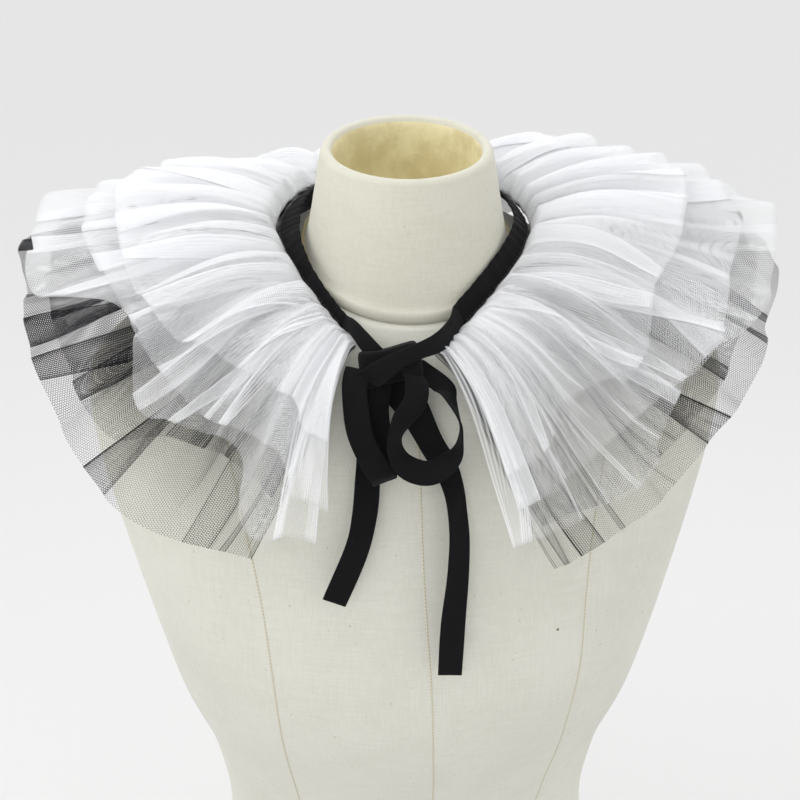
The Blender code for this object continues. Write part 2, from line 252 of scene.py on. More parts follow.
def lay_grid(points, flat=None, closed=False):
    """A grid of faces whose vertices lie on an array of points, columns by rows.

    A flat array gives each vertex's place on the uncut cloth. A closed grid
    comes round on itself, so its last column meets its first.
    """
    columns, rows = points.shape[:2]
    edit = bmesh.new()
    bmesh.ops.create_grid(edit, x_segments=columns - 1, y_segments=rows - 1, size=1.0)
    for vertex in edit.verts:
        column = round((vertex.co.x + 1) / 2 * (columns - 1))
        row = round((vertex.co.y + 1) / 2 * (rows - 1))
        vertex.co = points[column, row]
        vertex.index = row * columns + column
    edit.verts.sort()
    if flat is not None:
        cloth_map = edit.loops.layers.uv.new("cloth")
        for face in edit.faces:
            for loop in face.loops:
                row, column = divmod(loop.vert.index, columns)
                loop[cloth_map].uv = flat[column, row]
    if closed:
        bmesh.ops.remove_doubles(edit, verts=edit.verts, dist=0.01 * MM)
    return edit


def close_ends(edit):
    """Fill the open ends of a tube and turn its faces out."""
    bmesh.ops.holes_fill(edit, edges=[edge for edge in edit.edges if edge.is_boundary], sides=0)
    bmesh.ops.recalc_face_normals(edit, faces=edit.faces)


def finish_piece(name, edit, finish, node=None):
    """Turn an edited mesh into a piece that rides on the root body."""
    mesh = bpy.data.meshes.new(name)
    edit.to_mesh(mesh)
    edit.free()
    mesh.shade_smooth()
    mesh.materials.append(finish)
    piece = bpy.data.objects.new(name, mesh)
    scene.collection.objects.link(piece)
    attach(piece, "root")
    if node:
        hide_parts(node)
    print(name, len(mesh.polygons), "faces")
    return piece

# %% [markdown]
# ## Linen finish
#
# The form wears a tight cover of cream linen. Its threads are uneven, so the
# cloth has fine ribs both ways, long slubs where a thread is fat, and small
# dark flecks of flax. All of it is worked out in real sizes from the place on
# the form, so the weave keeps its scale everywhere.

# %% Linen finish
LINEN_PALE = (0.655, 0.652, 0.582)
LINEN_DEEP = (0.605, 0.598, 0.528)
FLECK = (0.36, 0.31, 0.22)
THREAD_PITCH = 0.9 * MM
WEAVE_DEPTH = 0.055 * MM
SLUB_HEIGHT = 1.6               # of a thread's own
FLECK_STRENGTH = 0.55
# How many soft cells of noise there are to a metre, along each axis.
SLUBS_ACROSS = (60.0, 60.0, 900.0)
SLUBS_DOWN = (900.0, 900.0, 45.0)
FLECKS = (500.0, 500.0, 240.0)
CLOUDS = 14.0


def linen_finish(name, pale, deep):
    """Slubbed linen between two colours."""
    finish, tree, output = new_finish(name)
    place = add_node(tree, "TexCoord").outputs["Object"]
    across, depth, height = add_node(tree, "SeparateXYZ", {0: place}).outputs
    side = maths(tree, "ADD", across, depth)
    ribs = maths(tree, "SINE", maths(tree, "MULTIPLY", height, 2 * pi / THREAD_PITCH))
    warp = maths(tree, "SINE", maths(tree, "MULTIPLY", side, 2 * pi / THREAD_PITCH))
    slub_across = noise(tree, stretched(tree, place, SLUBS_ACROSS), 1.0, 3.0)
    slub_down = noise(tree, stretched(tree, place, SLUBS_DOWN), 1.0, 3.0)
    slubs = maths(tree, "ADD", slub_across, slub_down)
    clouds = noise(tree, place, CLOUDS, 3.0)
    shade = maths(tree, "MULTIPLY_ADD", slubs, 0.5, maths(tree, "MULTIPLY", clouds, 0.7))
    colour = blend_colours(tree, ramp(tree, shade, 0.68, 1.06), pale, deep)
    flecks = ramp(tree, noise(tree, stretched(tree, place, FLECKS), 1.0, 1.0), 0.74, 0.80)
    colour = blend_colours(tree, maths(tree, "MULTIPLY", flecks, FLECK_STRENGTH), colour, FLECK)
    weave = maths(tree, "MULTIPLY", ribs, warp)
    weave = maths(tree, "MULTIPLY_ADD", slubs, SLUB_HEIGHT, weave)
    bump = add_node(tree, "Bump", {"Strength": 0.5, "Distance": WEAVE_DEPTH, "Height": weave})
    cover(tree, output, {"Base Color": colour, "Roughness": 0.85, "Sheen Weight": 0.15,
                         "Sheen Roughness": 0.5, "Normal": bump.outputs["Normal"]})
    return finish


linen = linen_finish("cream linen", LINEN_PALE, LINEN_DEEP)
print("linen threads", THREAD_PITCH / MM, "mm apart")

# %% [markdown]
# ## The body of the form
#
# The body is lofted through level ovals, each a little deeper or shallower in
# front than behind, so it has a bust, a waist and round shoulders but no other
# anatomy. The same table is used as for its solid, read at finer steps.

# %% The body of the form
Section = namedtuple("Section", "number height half_width front back tilt")


def numbered(rows):
    """Sections in order, each with its number to be read by."""
    return [Section(number, *row) for number, row in enumerate(rows)]


SEAT_HEIGHT = 0.652
SEAT_TILT = 0.29
TORSO = numbered([
    (0.000, 0.166, 0.100, 0.120, 0.0),
    (0.006, 0.172, 0.106, 0.126, 0.0),
    (0.060, 0.176, 0.108, 0.130, 0.0),
    (0.150, 0.150, 0.098, 0.105, 0.0),
    (0.232, 0.1245, 0.086, 0.085, 0.0),
    (0.300, 0.1335, 0.102, 0.088, 0.0),
    (0.350, 0.1535, 0.124, 0.096, 0.0),
    (0.400, 0.1680, 0.134, 0.104, 0.0),
    (0.460, 0.1840, 0.128, 0.112, 0.0),
    (0.520, 0.1980, 0.117, 0.118, 0.0),
    (0.560, 0.2035, 0.108, 0.116, 0.02),
    (0.583, 0.2000, 0.101, 0.110, 0.05),
    (0.598, 0.1860, 0.096, 0.104, 0.10),
    (0.612, 0.1600, 0.091, 0.097, 0.15),
    (0.628, 0.1260, 0.085, 0.089, 0.21),
    (0.642, 0.0930, 0.079, 0.081, 0.26),
    (SEAT_HEIGHT, 0.0700, 0.0745, 0.0745, SEAT_TILT),
])
NECK = numbered([
    (SEAT_HEIGHT + 0.3 * MM, 0.0655, 0.0710, 0.0700, SEAT_TILT),
    (0.6550, 0.0670, 0.0725, 0.0715, 0.285),
    (0.6585, 0.0665, 0.0720, 0.0710, 0.28),
    (0.6615, 0.0632, 0.0685, 0.0675, 0.265),
    (0.6750, 0.0603, 0.0640, 0.0635, 0.21),
    (0.6950, 0.0570, 0.0595, 0.0595, 0.15),
    (0.7140, 0.0540, 0.0545, 0.0545, 0.09),
    (0.7190, 0.0525, 0.0530, 0.0530, 0.088),
    (0.7205, 0.0495, 0.0500, 0.0500, 0.088),
    (0.7185, 0.0465, 0.0470, 0.0470, 0.088),
    (0.7100, 0.0450, 0.0455, 0.0455, 0.095),
    (0.6800, 0.0450, 0.0460, 0.0460, 0.18),
    (0.6640, 0.0430, 0.0440, 0.0440, 0.27),
])
SIDES_ROUND = 128
STEPS_A_SECTION = 6


def oval_sizes(table, key, at):
    """The half width, the depths in front and behind, and the tilt of the ovals at an array of keys."""
    return [read_table(table, key, column, at) for column in ("half_width", "front", "back", "tilt")]


def oval_points(table, key, at, turn):
    """Points on a form at arrays of keys and of turns, in radians from +X."""
    half_width, front, back, tilt = oval_sizes(table, key, at)
    depth = np.where(np.sin(turn) > 0, back, front)
    y = depth * np.sin(turn)
    height = at if key == "height" else read_table(table, key, "height", at)
    return np.stack(np.broadcast_arrays(half_width * np.cos(turn), y, height + tilt * y), -1)


def make_form_piece(name, table, key, finish, node):
    """A closed loft through a table of ovals."""
    keys = np.array([getattr(row, key) for row in table])
    parts = np.arange(STEPS_A_SECTION) / STEPS_A_SECTION
    between = [low + (high - low) * parts for low, high in zip(keys, keys[1:])]
    at = np.concatenate(between + [keys[-1:]])
    turn = np.linspace(0, 2 * pi, SIDES_ROUND + 1)
    edit = lay_grid(oval_points(table, key, at[None, :], turn[:, None]), closed=True)
    close_ends(edit)
    return finish_piece(name, edit, finish, node)


# The neck's linen is a little yellower than the body's, and darker too as painted shade.
SHADED_NECK_LINEN_PALE = (0.585, 0.575, 0.490)
SHADED_NECK_LINEN_DEEP = (0.540, 0.525, 0.435)

make_form_piece("form_body_cover", TORSO, "height", linen, "form_torso")
# Painted shade: the neck wears a darker copy of the linen.
shaded_neck_linen = linen_finish("yellowed linen with painted shade", SHADED_NECK_LINEN_PALE, SHADED_NECK_LINEN_DEEP)
neck_cover = make_form_piece("form_neck_cover", NECK, "number", shaded_neck_linen, "form_neck")

# %% [markdown]
# ## The inside of the neck
#
# The neck is an open cup. Its inside is bare card that has yellowed, and the
# linen is turned in over the rim. A second finish goes on the faces that look
# towards the neck's own axis.

# %% The inside of the neck
NECK_CARD = (0.70, 0.64, 0.40)
NECK_CARD_DEEP = (0.57, 0.50, 0.28)
TURNED_IN = 3.0 * MM            # of linen below the rim, inside
CARD_BOTTOM = 0.655             # the neck's own underside lies lower
CUP_DEPTH = 0.02                # its floor is at least this far below the rim
FACES_UP = 0.5                  # how much of a floor's normal points up, at least


def card_finish():
    """Smooth card that has yellowed in patches."""
    finish, tree, output = new_finish("neck card")
    place = add_node(tree, "TexCoord").outputs["Object"]
    patches = ramp(tree, noise(tree, place, 45.0, 4.0, 0.6), 0.38, 0.66)
    colour = blend_colours(tree, patches, NECK_CARD, NECK_CARD_DEEP)
    bump = add_node(tree, "Bump", {"Strength": 0.3, "Distance": 0.3 * MM, "Height": patches})
    cover(tree, output, {"Base Color": colour, "Roughness": 0.7, "Normal": bump.outputs["Normal"]})
    return finish


def is_card(face, rim):
    """Whether a face of the neck is one of those inside it, below the turned-in linen."""
    inward = face.normal.x * face.center.x + face.normal.y * face.center.y < 0
    floor_of_cup = face.normal.z > FACES_UP and face.center.z < rim.height - CUP_DEPTH
    level = face.center.z - rim.tilt * face.center.y
    return (inward or floor_of_cup) and level < rim.height - TURNED_IN and face.center.z > CARD_BOTTOM


neck_cover.data.materials.append(card_finish())
neck_rim = max(NECK, key=lambda section: section.height)
inside = [face for face in neck_cover.data.polygons if is_card(face, neck_rim)]
for face in inside:
    face.material_index = 1
print(len(inside), "faces of card inside the neck")

# %% [markdown]
# ## Seams of the form
#
# The linen cover is cut in panels. A seam runs down the middle of the front
# and of the back, and a curved one over each side of the bust and of the back.
# Each is a low ridge laid on the form, with a row of yellowed stitches on it
# that a sine along the seam's own flat map draws.

# %% Seams of the form
SEAM_WIDTH = 1.5 * MM
SEAM_HEIGHT = 0.30 * MM
SEAM_CLEAR = 0.1 * MM           # of the ridge's foot above the linen
SEAM_SUNK = 0.3 * MM            # of its two edges below it
SEAM_POINTS = 5                 # across the ridge
SEAM_STEP = 0.005               # between sections
SEAM_START = 0.010              # height of the lower ends
SEAM_TOPS = {"left": 0.588, "middle": 0.600, "right": 0.588}
SEAM_THREAD = (0.50, 0.43, 0.27)
SEAM_STITCH = 2.4 * MM
Seam = namedtuple("Seam", "height left middle right")
SEAMS = [
    Seam(0.240, -0.066, 0.010, 0.072),
    Seam(0.308, -0.079, 0.010, 0.088),
    Seam(0.360, -0.087, 0.008, 0.096),
    Seam(0.412, -0.092, 0.006, 0.103),
    Seam(0.460, -0.097, 0.003, 0.105),
    Seam(0.508, -0.105, 0.001, 0.109),
    Seam(0.560, -0.114, 0.000, 0.116),
    Seam(0.600, -0.118, -0.002, 0.118),
]


def seam_finish():
    """Linen with a row of stitches along it."""
    finish, tree, output = new_finish("stitched linen")
    place = add_node(tree, "UVMap", uv_map="cloth").outputs["UV"]
    along, across, _ = add_node(tree, "SeparateXYZ", {0: place}).outputs
    wave = maths(tree, "SINE", maths(tree, "MULTIPLY", along, 2 * pi / SEAM_STITCH))
    stitch = ramp(tree, wave, -0.4, 0.1)
    from_middle = maths(tree, "ABSOLUTE", across)
    middle = ramp(tree, from_middle, 0.25 * SEAM_WIDTH, 0.32 * SEAM_WIDTH, 1.0, 0.0)
    colour = blend_colours(tree, maths(tree, "MULTIPLY", stitch, middle), LINEN_DEEP, SEAM_THREAD)
    cover(tree, output, {"Base Color": colour, "Roughness": 0.85})
    return finish


def body_depth(across, height, side):
    """How far forward (side -1) or back (side 1) the body reaches at a place seen from the front."""
    half_width, front, back, _ = oval_sizes(TORSO, "height", height)
    depth = (front if side < 0 else back) * np.sqrt(np.maximum(1 - (across / half_width) ** 2, 0.0))
    return side * depth


def make_seam(name, column, side):
    """One seam as a low ridge on the body, front or back."""
    height = np.arange(SEAM_START, SEAM_TOPS[column], SEAM_STEP)
    across = read_table(SEAMS, "height", column, height)
    tilt = read_table(TORSO, "height", "tilt", height)
    edges = np.linspace(-1.0, 1.0, SEAM_POINTS)
    x = across[:, None] + edges * SEAM_WIDTH / 2
    y = body_depth(x, height[:, None], side)
    lift = np.where(np.abs(edges) < 1, SEAM_HEIGHT * (1 - edges**2) + SEAM_CLEAR, -SEAM_SUNK)
    z = height[:, None] + tilt[:, None] * y
    points = np.stack(np.broadcast_arrays(x, y + side * lift, z), -1)
    flat = np.stack(np.broadcast_arrays(height[:, None], edges * SEAM_WIDTH / 2), -1)
    edit = lay_grid(points, flat)
    if side < 0:
        bmesh.ops.reverse_faces(edit, faces=edit.faces)
    finish_piece(name, edit, stitched)


stitched = seam_finish()
for column in SEAM_TOPS:
    make_seam("seam_front_" + column, column, -1)
    make_seam("seam_back_" + column, column, 1)

# %% [markdown]
# ## The pin hole
#
# A pin has left one small hole in the linen, at the bust on the wearer's left.
# It is a shallow dark cone set into the form's round front and turned to face
# out of it, which is enough for something so small.

# %% The pin hole
PIN_ACROSS = 0.0865
PIN_HEIGHT = 0.4411
PIN_HOLE_RADIUS = 1.1 * MM
PIN_RADIUS = 0.5 * MM           # at the hole's other end
PIN_HOLE_DEPTH = 0.6 * MM
PIN_HOLE_TURN = 0.5             # radians away from the middle of the front
PIN_HOLE_COLOUR = (0.10, 0.065, 0.035)


def make_pin_hole():
    """The one hole that a pin has left."""
    edit = bmesh.new()
    bmesh.ops.create_cone(edit, cap_ends=True, segments=10, radius1=PIN_HOLE_RADIUS,
                          radius2=PIN_RADIUS, depth=PIN_HOLE_DEPTH)
    turn = Euler((pi / 2, 0.0, PIN_HOLE_TURN)).to_matrix()
    bmesh.ops.rotate(edit, cent=(0, 0, 0), matrix=turn, verts=edit.verts)
    depth = float(body_depth(PIN_ACROSS, PIN_HEIGHT, -1))
    bmesh.ops.translate(edit, vec=(PIN_ACROSS, depth, PIN_HEIGHT), verts=edit.verts)
    finish_piece("pin_hole", edit, plain_finish("pin hole", PIN_HOLE_COLOUR, 0.9))


make_pin_hole()

# %% [markdown]
# ## Net finish
#
# Tulle is a net of six-sided holes. Three cosines at sixty degrees to each
# other are high in the middle of each hole and low along the threads, so one
# threshold on their sum cuts the holes out. The threads are see-through cloth
# themselves: part of the light goes on through them. Where the net is gathered
# or creased its threads crowd together, and the holes close up.

# %% Net finish
NET_PITCH = 1.5 * MM            # from hole to hole
NET_EDGE = 0.35                 # how softly a thread ends, in units of the sum
STREAKS_ACROSS = 85.0           # fine creases to a metre across the net
STREAKS_ALONG = 5.0             # and along it
STREAK_LIMITS = (0.61, 0.68)    # of the noise, between which a crease starts
STREAK_CROWD = 0.65             # how much closer the threads lie along one
WHITE_THREAD = (0.965, 0.97, 0.98)
BLACK_THREAD = (0.022, 0.022, 0.026)


def net_finish(name, thread, covered, crowding_gain, through):
    """Open net, by its thread colour and the level of the sum that is covered."""
    finish, tree, output = new_finish(name)
    place = add_node(tree, "UVMap", uv_map="cloth").outputs["UV"]
    across, along, _ = add_node(tree, "SeparateXYZ", {0: place}).outputs
    wave = 4 * pi / (3**0.5 * NET_PITCH)    # so that the holes are one pitch apart
    total = maths(tree, "COSINE", maths(tree, "MULTIPLY", across, wave))
    half_way = maths(tree, "MULTIPLY", across, wave / 2)
    for side in (1, -1):
        slant = maths(tree, "MULTIPLY_ADD", along, side * wave * 3**0.5 / 2, half_way)
        total = maths(tree, "ADD", total, maths(tree, "COSINE", slant))
    crowding = add_node(tree, "Attribute", attribute_name="crowding").outputs["Fac"]
    streaks = noise(tree, stretched(tree, place, (STREAKS_ACROSS, STREAKS_ALONG, 1.0)), 1.0, 2.0)
    streaks = ramp(tree, streaks, *STREAK_LIMITS, 0.0, STREAK_CROWD)
    crowding = maths(tree, "ADD", crowding, streaks)
    level = maths(tree, "MULTIPLY_ADD", crowding, crowding_gain, covered)
    over = maths(tree, "SUBTRACT", total, level)
    thread_share = ramp(tree, over, -NET_EDGE, NET_EDGE, 1.0, 0.0)
    front = add_node(tree, "BsdfDiffuse", {"Color": (*thread, 1.0)})
    behind = add_node(tree, "BsdfTranslucent", {"Color": (*thread, 1.0)})
    cloth = add_node(tree, "MixShader", {0: through, 1: front.outputs[0], 2: behind.outputs[0]})
    hole = add_node(tree, "BsdfTransparent")
    whole = add_node(tree, "MixShader", {0: thread_share, 1: hole.outputs[0], 2: cloth.outputs[0]})
    tree.links.new(whole.outputs[0], output.inputs["Surface"])
    return finish


white_net = net_finish("white net", WHITE_THREAD, covered=-1.0, crowding_gain=1.0, through=0.45)
black_net = net_finish("black net", BLACK_THREAD, covered=-1.15, crowding_gain=0.65, through=0.12)
print("net pitch", NET_PITCH / MM, "mm")

# %% [markdown]
# ## How the ruff drapes
#
# The five strips leave the binding side by side and droop over the shoulders.
# The tables say in which direction the net runs at each azimuth round the
# neck, how steeply it leaves and droops, where its large folds stand, and how
# far each strip reaches. They are the tables of the frame's solids, with a few
# hems and slopes set more closely to the way this collar fell.

# %% How the ruff drapes
# The band's lower edge goes round the neck as a ring that narrows to the knot.
BAND_HALF_WIDTH = 0.0785
BAND_FRONT = 0.0950
BAND_BACK = 0.0760
BAND_SHIFT = -0.002             # of the whole ring to one side
KNOT_SHIFT = -0.009             # and of its front besides
BAND_HEIGHT = 0.664             # at the sides
BAND_FALL = 0.047               # from there down to the front
BAND_RISE = 0.016               # and up to the back
BAND_PINCH = 0.36               # how much narrower the ring is towards the knot
PINCH_POWER = 1.5
FALL_POWER = 1.6

# Azimuth and heading are degrees round from the knot, towards the wearer's left.
# The net leaves the band and droops at so many degrees up from level.
Drape = namedtuple("Drape", "azimuth heading leave droop spread reach")
DRAPES = [
    Drape(20, 28, -24, -56, 0.8, 0.80),
    Drape(30, 38, -18, -52, 0.8, 0.86),
    Drape(44, 50, -8, -45, 0.8, 0.91),
    Drape(60, 66, 3, -33, 0.9, 0.91),
    Drape(80, 84, 12, -18, 1.0, 0.94),
    Drape(98, 98, 14, -8, 1.0, 0.95),
    Drape(118, 116, 8, -12, 1.0, 0.88),
    Drape(140, 140, -2, -15, 1.0, 0.88),
    Drape(165, 167, -12, -34, 0.9, 0.76),
    Drape(195, 193, -14, -42, 0.9, 0.72),
    Drape(220, 218, -6, -27, 1.0, 0.76),
    Drape(242, 243, 6, -15, 1.0, 0.86),
    Drape(253, 254, 11, -6, 1.0, 0.94),
    Drape(262, 262, 14, -11, 1.0, 0.93),
    Drape(280, 276, 12, -17, 1.0, 0.95),
    Drape(298, 292, 4, -30, 0.9, 0.98),
    Drape(314, 310, -8, -45, 0.8, 0.97),
    Drape(324, 323, -18, -52, 0.8, 0.88),
    Drape(332, 332, -24, -56, 0.8, 0.76),
    Drape(340, 347, -30, -62, 0.8, 0.76),
]

# The height of a large fold is a share of the swell at its place.
Fold = namedtuple("Fold", "azimuth height")
FOLDS = [
    Fold(21, 0.45), Fold(30.5, 0.6), Fold(38, 0.55), Fold(47, 0.95), Fold(55, 0.6),
    Fold(64, 1.1), Fold(75, 0.8), Fold(86, 1.05), Fold(99, 0.7), Fold(108, 1.1),
    Fold(121, 0.8), Fold(131, 1.2), Fold(146, 0.75), Fold(159, 1.1), Fold(171, 0.8),
    Fold(186, 1.0), Fold(200, 0.8), Fold(212, 1.15), Fold(226, 0.75), Fold(240, 1.1),
    Fold(249, 0.8), Fold(262, 1.15), Fold(272, 0.8), Fold(284, 1.05), Fold(296, 1.1),
    Fold(307, 0.95), Fold(316, 0.6), Fold(323.5, 0.5), Fold(331, 0.45),
]

# How much of its full length each strip reaches.
Hem = namedtuple(
    "Hem", "azimuth black_tulle_long black_tulle_short white_tulle_long white_tulle_mid white_tulle_short")
HEMS = [
    Hem(20, 1.00, 0.95, 1.00, 1.00, 1.02),
    Hem(30, 1.00, 0.95, 0.98, 0.95, 0.96),
    Hem(37, 1.00, 0.97, 0.97, 0.92, 0.78),
    Hem(44, 1.00, 1.00, 1.00, 0.90, 0.82),
    Hem(50, 1.00, 1.00, 0.91, 0.93, 0.96),
    Hem(57, 1.00, 1.00, 0.87, 1.00, 0.94),
    Hem(65, 1.00, 1.02, 0.90, 1.06, 0.84),
    Hem(76, 1.00, 1.00, 1.04, 1.00, 0.88),
    Hem(98, 1.00, 1.00, 1.05, 1.00, 0.95),
    Hem(140, 1.00, 1.00, 1.00, 1.00, 1.00),
    Hem(220, 1.00, 1.00, 1.00, 1.00, 1.00),
    Hem(240, 1.02, 1.00, 1.02, 0.99, 0.97),
    Hem(254, 1.05, 1.01, 1.05, 0.97, 0.95),
    Hem(266, 1.02, 1.00, 1.05, 0.94, 0.95),
    Hem(280, 1.00, 1.00, 0.99, 0.86, 0.91),
    Hem(286, 1.00, 0.99, 0.72, 0.82, 0.90),
    Hem(292, 1.00, 0.98, 0.66, 0.78, 0.88),
    Hem(297, 1.00, 0.99, 0.70, 0.78, 0.85),
    Hem(302, 1.00, 0.97, 0.81, 0.78, 0.80),
    Hem(308, 1.00, 0.80, 0.74, 0.77, 0.68),
    Hem(314, 0.97, 0.72, 0.67, 0.75, 0.62),
    Hem(319, 0.94, 0.74, 0.70, 0.70, 0.59),
    Hem(323, 0.95, 0.79, 0.93, 0.72, 0.59),
    Hem(326, 0.97, 0.85, 1.00, 0.75, 0.60),
    Hem(331, 1.00, 0.92, 1.02, 0.98, 0.80),
]

# Lift is in degrees, rise is how far the strip starts above the band's edge,
# and slip and sweep, in degrees, set it beside the others and back at its ends.
Net = namedtuple("Net", "name length lift rise slip sweep")
NETS = [
    Net("black_tulle_long", 0.176, -6.0, -1.6 * MM, -8.0, 8.0),
    Net("black_tulle_short", 0.156, -2.5, 1.2 * MM, 2.0, 6.0),
    Net("white_tulle_long", 0.160, 1.0, 4.0 * MM, -6.0, 0.0),
    Net("white_tulle_mid", 0.138, 4.5, 6.8 * MM, 2.0, 0.0),
    Net("white_tulle_short", 0.112, 8.0, 9.8 * MM, 0.0, 0.0),
]
# Half the height of a full fold, by the share of a strip's length.
Swell = namedtuple("Swell", "share height")
SWELLS = [
    Swell(0.00, 1.8 * MM),
    Swell(0.10, 2.8 * MM),
    Swell(0.34, 5.2 * MM),
    Swell(0.66, 6.2 * MM),
    Swell(1.06, 5.0 * MM),
]

SWEEP_FADE = 40.0               # degrees from its ends over which a strip sweeps back
BEND_LENGTH = 0.070             # over which a strip turns from leaving to drooping
ROOT_OUT = 0.0022               # from the band's edge to the net's
FOLD_SWAY = 0.25                # how far a fold leans over, as a share of its swell
WAY_PIECES = 12                 # straight pieces that a strip's bend is made of

# How much closer the threads lie where more cloth is gathered in, and how much
# of its wandering the hem has there.
Fullness = namedtuple("Fullness", "azimuth crowd wander")
FULLNESS = [
    Fullness(20, 0.15, 0.2),
    Fullness(29, -0.20, 0.2),
    Fullness(50, -0.15, 0.2),
    Fullness(74, 0.12, 0.3),
    Fullness(100, 0.32, 0.7),
    Fullness(150, 0.40, 1.0),
    Fullness(220, 0.40, 1.0),
    Fullness(262, 0.40, 0.3),
    Fullness(288, 0.14, 0.2),
    Fullness(304, -0.12, 0.2),
    Fullness(331, -0.02, 0.2),
]
print(len(FOLDS), "large folds in", len(NETS), "strips")

# %% [markdown]
# ## Pleats
#
# Besides the large soft folds, each strip has narrow pleats where the net is
# laid over on itself and pressed flat: three thicknesses seen through each
# other, with a crisp line at each edge. Each strip has its own, placed one by
# one as they fell, and each runs from the band to the hem at a slant.

# %% Pleats
# Where a pleat lies at the band and at the hem, half of how far it overlaps
# there, all in degrees of azimuth, and which side of it lies on top.
Pleat = namedtuple("Pleat", "at_band at_hem wide_at_band wide_at_hem side")
PLEATS = {
    "black_tulle_long": [
        Pleat(23.4, 23.5, 1.4, 0.8, 1), Pleat(28.5, 29.5, 0.6, 2.4, 1), Pleat(37.5, 38, 1.0, 0.5, -1),
        Pleat(52, 60, 3.0, 3.0, 1), Pleat(80, 76, 1.6, 0.6, -1), Pleat(88, 81.5, 1.4, 0.6, 1),
        Pleat(101, 103, 1.8, 0.8, 1), Pleat(113, 117, 0.8, 2.8, -1), Pleat(128, 124, 2.4, 0.6, 1),
        Pleat(139, 142, 1.0, 2.8, 1), Pleat(147, 150.5, 1.8, 0.5, -1), Pleat(166, 161, 2.6, 1.6, 1),
        Pleat(178, 180, 0.8, 2.6, -1), Pleat(192, 188, 2.2, 0.6, 1), Pleat(204, 209, 1.0, 3.0, 1),
        Pleat(221, 218, 2.4, 0.8, -1), Pleat(231, 236, 1.2, 2.6, 1), Pleat(243, 246, 1.8, 0.5, -1),
        Pleat(257, 254.5, 1.2, 1.6, 1), Pleat(279, 268, 0.8, 0.3, 1), Pleat(288.5, 277.5, 2.2, 2.6, 1),
        Pleat(296, 285.5, 3.0, 1.5, 1), Pleat(306, 304.5, 3.0, 2.6, 1), Pleat(319.5, 322, 2.4, 2.0, -1),
        Pleat(328.5, 325.6, 0.7, 0.4, 1),
    ],
    "black_tulle_short": [
        Pleat(34, 32, 1.2, 2.0, -1), Pleat(45, 49, 1.2, 0.5, 1), Pleat(61, 65.5, 1.2, 1.8, 1),
        Pleat(84, 92, 1.6, 0.8, -1), Pleat(112, 108, 0.8, 2.8, 1), Pleat(133, 138, 2.2, 0.8, -1),
        Pleat(158, 155, 1.2, 2.6, 1), Pleat(187, 192, 2.2, 1.0, -1), Pleat(214, 211, 0.8, 3.0, 1),
        Pleat(239, 243, 2.0, 0.6, -1), Pleat(258, 263, 1.2, 2.2, 1), Pleat(286, 281, 1.6, 1.6, -1),
        Pleat(300, 295, 2.0, 1.6, 1), Pleat(311, 312.5, 1.4, 2.2, 1), Pleat(323, 320, 1.2, 0.8, -1),
    ],
    "white_tulle_long": [
        Pleat(30.5, 21.9, 1.6, 0.7, -1), Pleat(36, 38.6, 0.7, 0.35, 1), Pleat(39.3, 43.8, 0.6, 0.35, 1),
        Pleat(51, 55.5, 2.2, 0.8, -1), Pleat(68.5, 66, 1.0, 2.4, 1), Pleat(83, 92, 2.4, 0.9, -1),
        Pleat(108, 104, 1.0, 2.6, 1), Pleat(121, 127, 2.4, 0.5, -1), Pleat(143, 140, 0.8, 3.2, 1),
        Pleat(168, 174, 2.4, 0.8, -1), Pleat(190, 187, 1.0, 3.0, 1), Pleat(213, 219, 2.4, 0.6, -1),
        Pleat(235, 231, 1.0, 2.8, 1), Pleat(251, 257, 2.4, 0.8, -1), Pleat(269, 265, 2.6, 1.2, 1),
        Pleat(286, 281.5, 3.0, 1.4, -1), Pleat(305, 301.6, 3.0, 0.8, 1), Pleat(316.5, 308, 2.2, 0.6, -1),
        Pleat(325, 329, 1.6, 1.0, 1),
    ],
    "white_tulle_mid": [
        Pleat(26, 24.5, 1.2, 1.4, 1), Pleat(47.5, 57, 1.4, 0.7, -1), Pleat(58.5, 66.5, 2.2, 1.8, 1),
        Pleat(79, 75, 2.4, 0.5, -1), Pleat(91, 97, 0.8, 2.4, 1), Pleat(117, 112, 2.4, 0.6, -1),
        Pleat(129, 134, 1.0, 3.0, 1), Pleat(157, 151, 2.4, 0.8, -1), Pleat(176, 181, 0.8, 2.8, 1),
        Pleat(203, 198, 2.4, 0.5, -1), Pleat(225, 229, 1.0, 3.0, 1), Pleat(248, 243, 2.6, 0.8, -1),
        Pleat(263, 268, 1.4, 2.2, 1), Pleat(281, 279, 2.4, 1.8, 1), Pleat(297, 292.5, 3.0, 0.8, 1),
        Pleat(308, 302.5, 2.2, 1.4, -1), Pleat(319, 316, 2.2, 0.5, 1), Pleat(328, 329, 0.9, 0.8, -1),
    ],
    "white_tulle_short": [
        Pleat(24.5, 22.5, 1.2, 0.6, 1), Pleat(33.5, 30, 1.8, 0.6, -1), Pleat(44.6, 53, 2.2, 0.7, 1),
        Pleat(56, 62, 2.4, 0.8, -1), Pleat(75, 69.8, 2.6, 0.9, 1), Pleat(86, 84, 2.2, 2.4, -1),
        Pleat(104, 100, 0.8, 2.6, 1), Pleat(120, 127, 2.4, 0.5, -1), Pleat(147, 143, 1.0, 3.2, 1),
        Pleat(163, 169, 2.4, 0.6, -1), Pleat(196, 191, 1.0, 3.0, 1), Pleat(208, 213, 2.6, 0.6, -1),
        Pleat(234, 230, 1.2, 3.2, 1), Pleat(254, 249, 2.6, 1.0, -1), Pleat(271, 274, 1.4, 2.6, 1),
        Pleat(289, 284, 3.0, 0.8, -1), Pleat(299.5, 295.5, 2.0, 1.0, 1), Pleat(309.5, 303.5, 3.2, 0.9, 1),
        Pleat(319.5, 313, 1.8, 0.5, -1), Pleat(327.3, 327, 1.6, 2.0, 1),
    ],
}
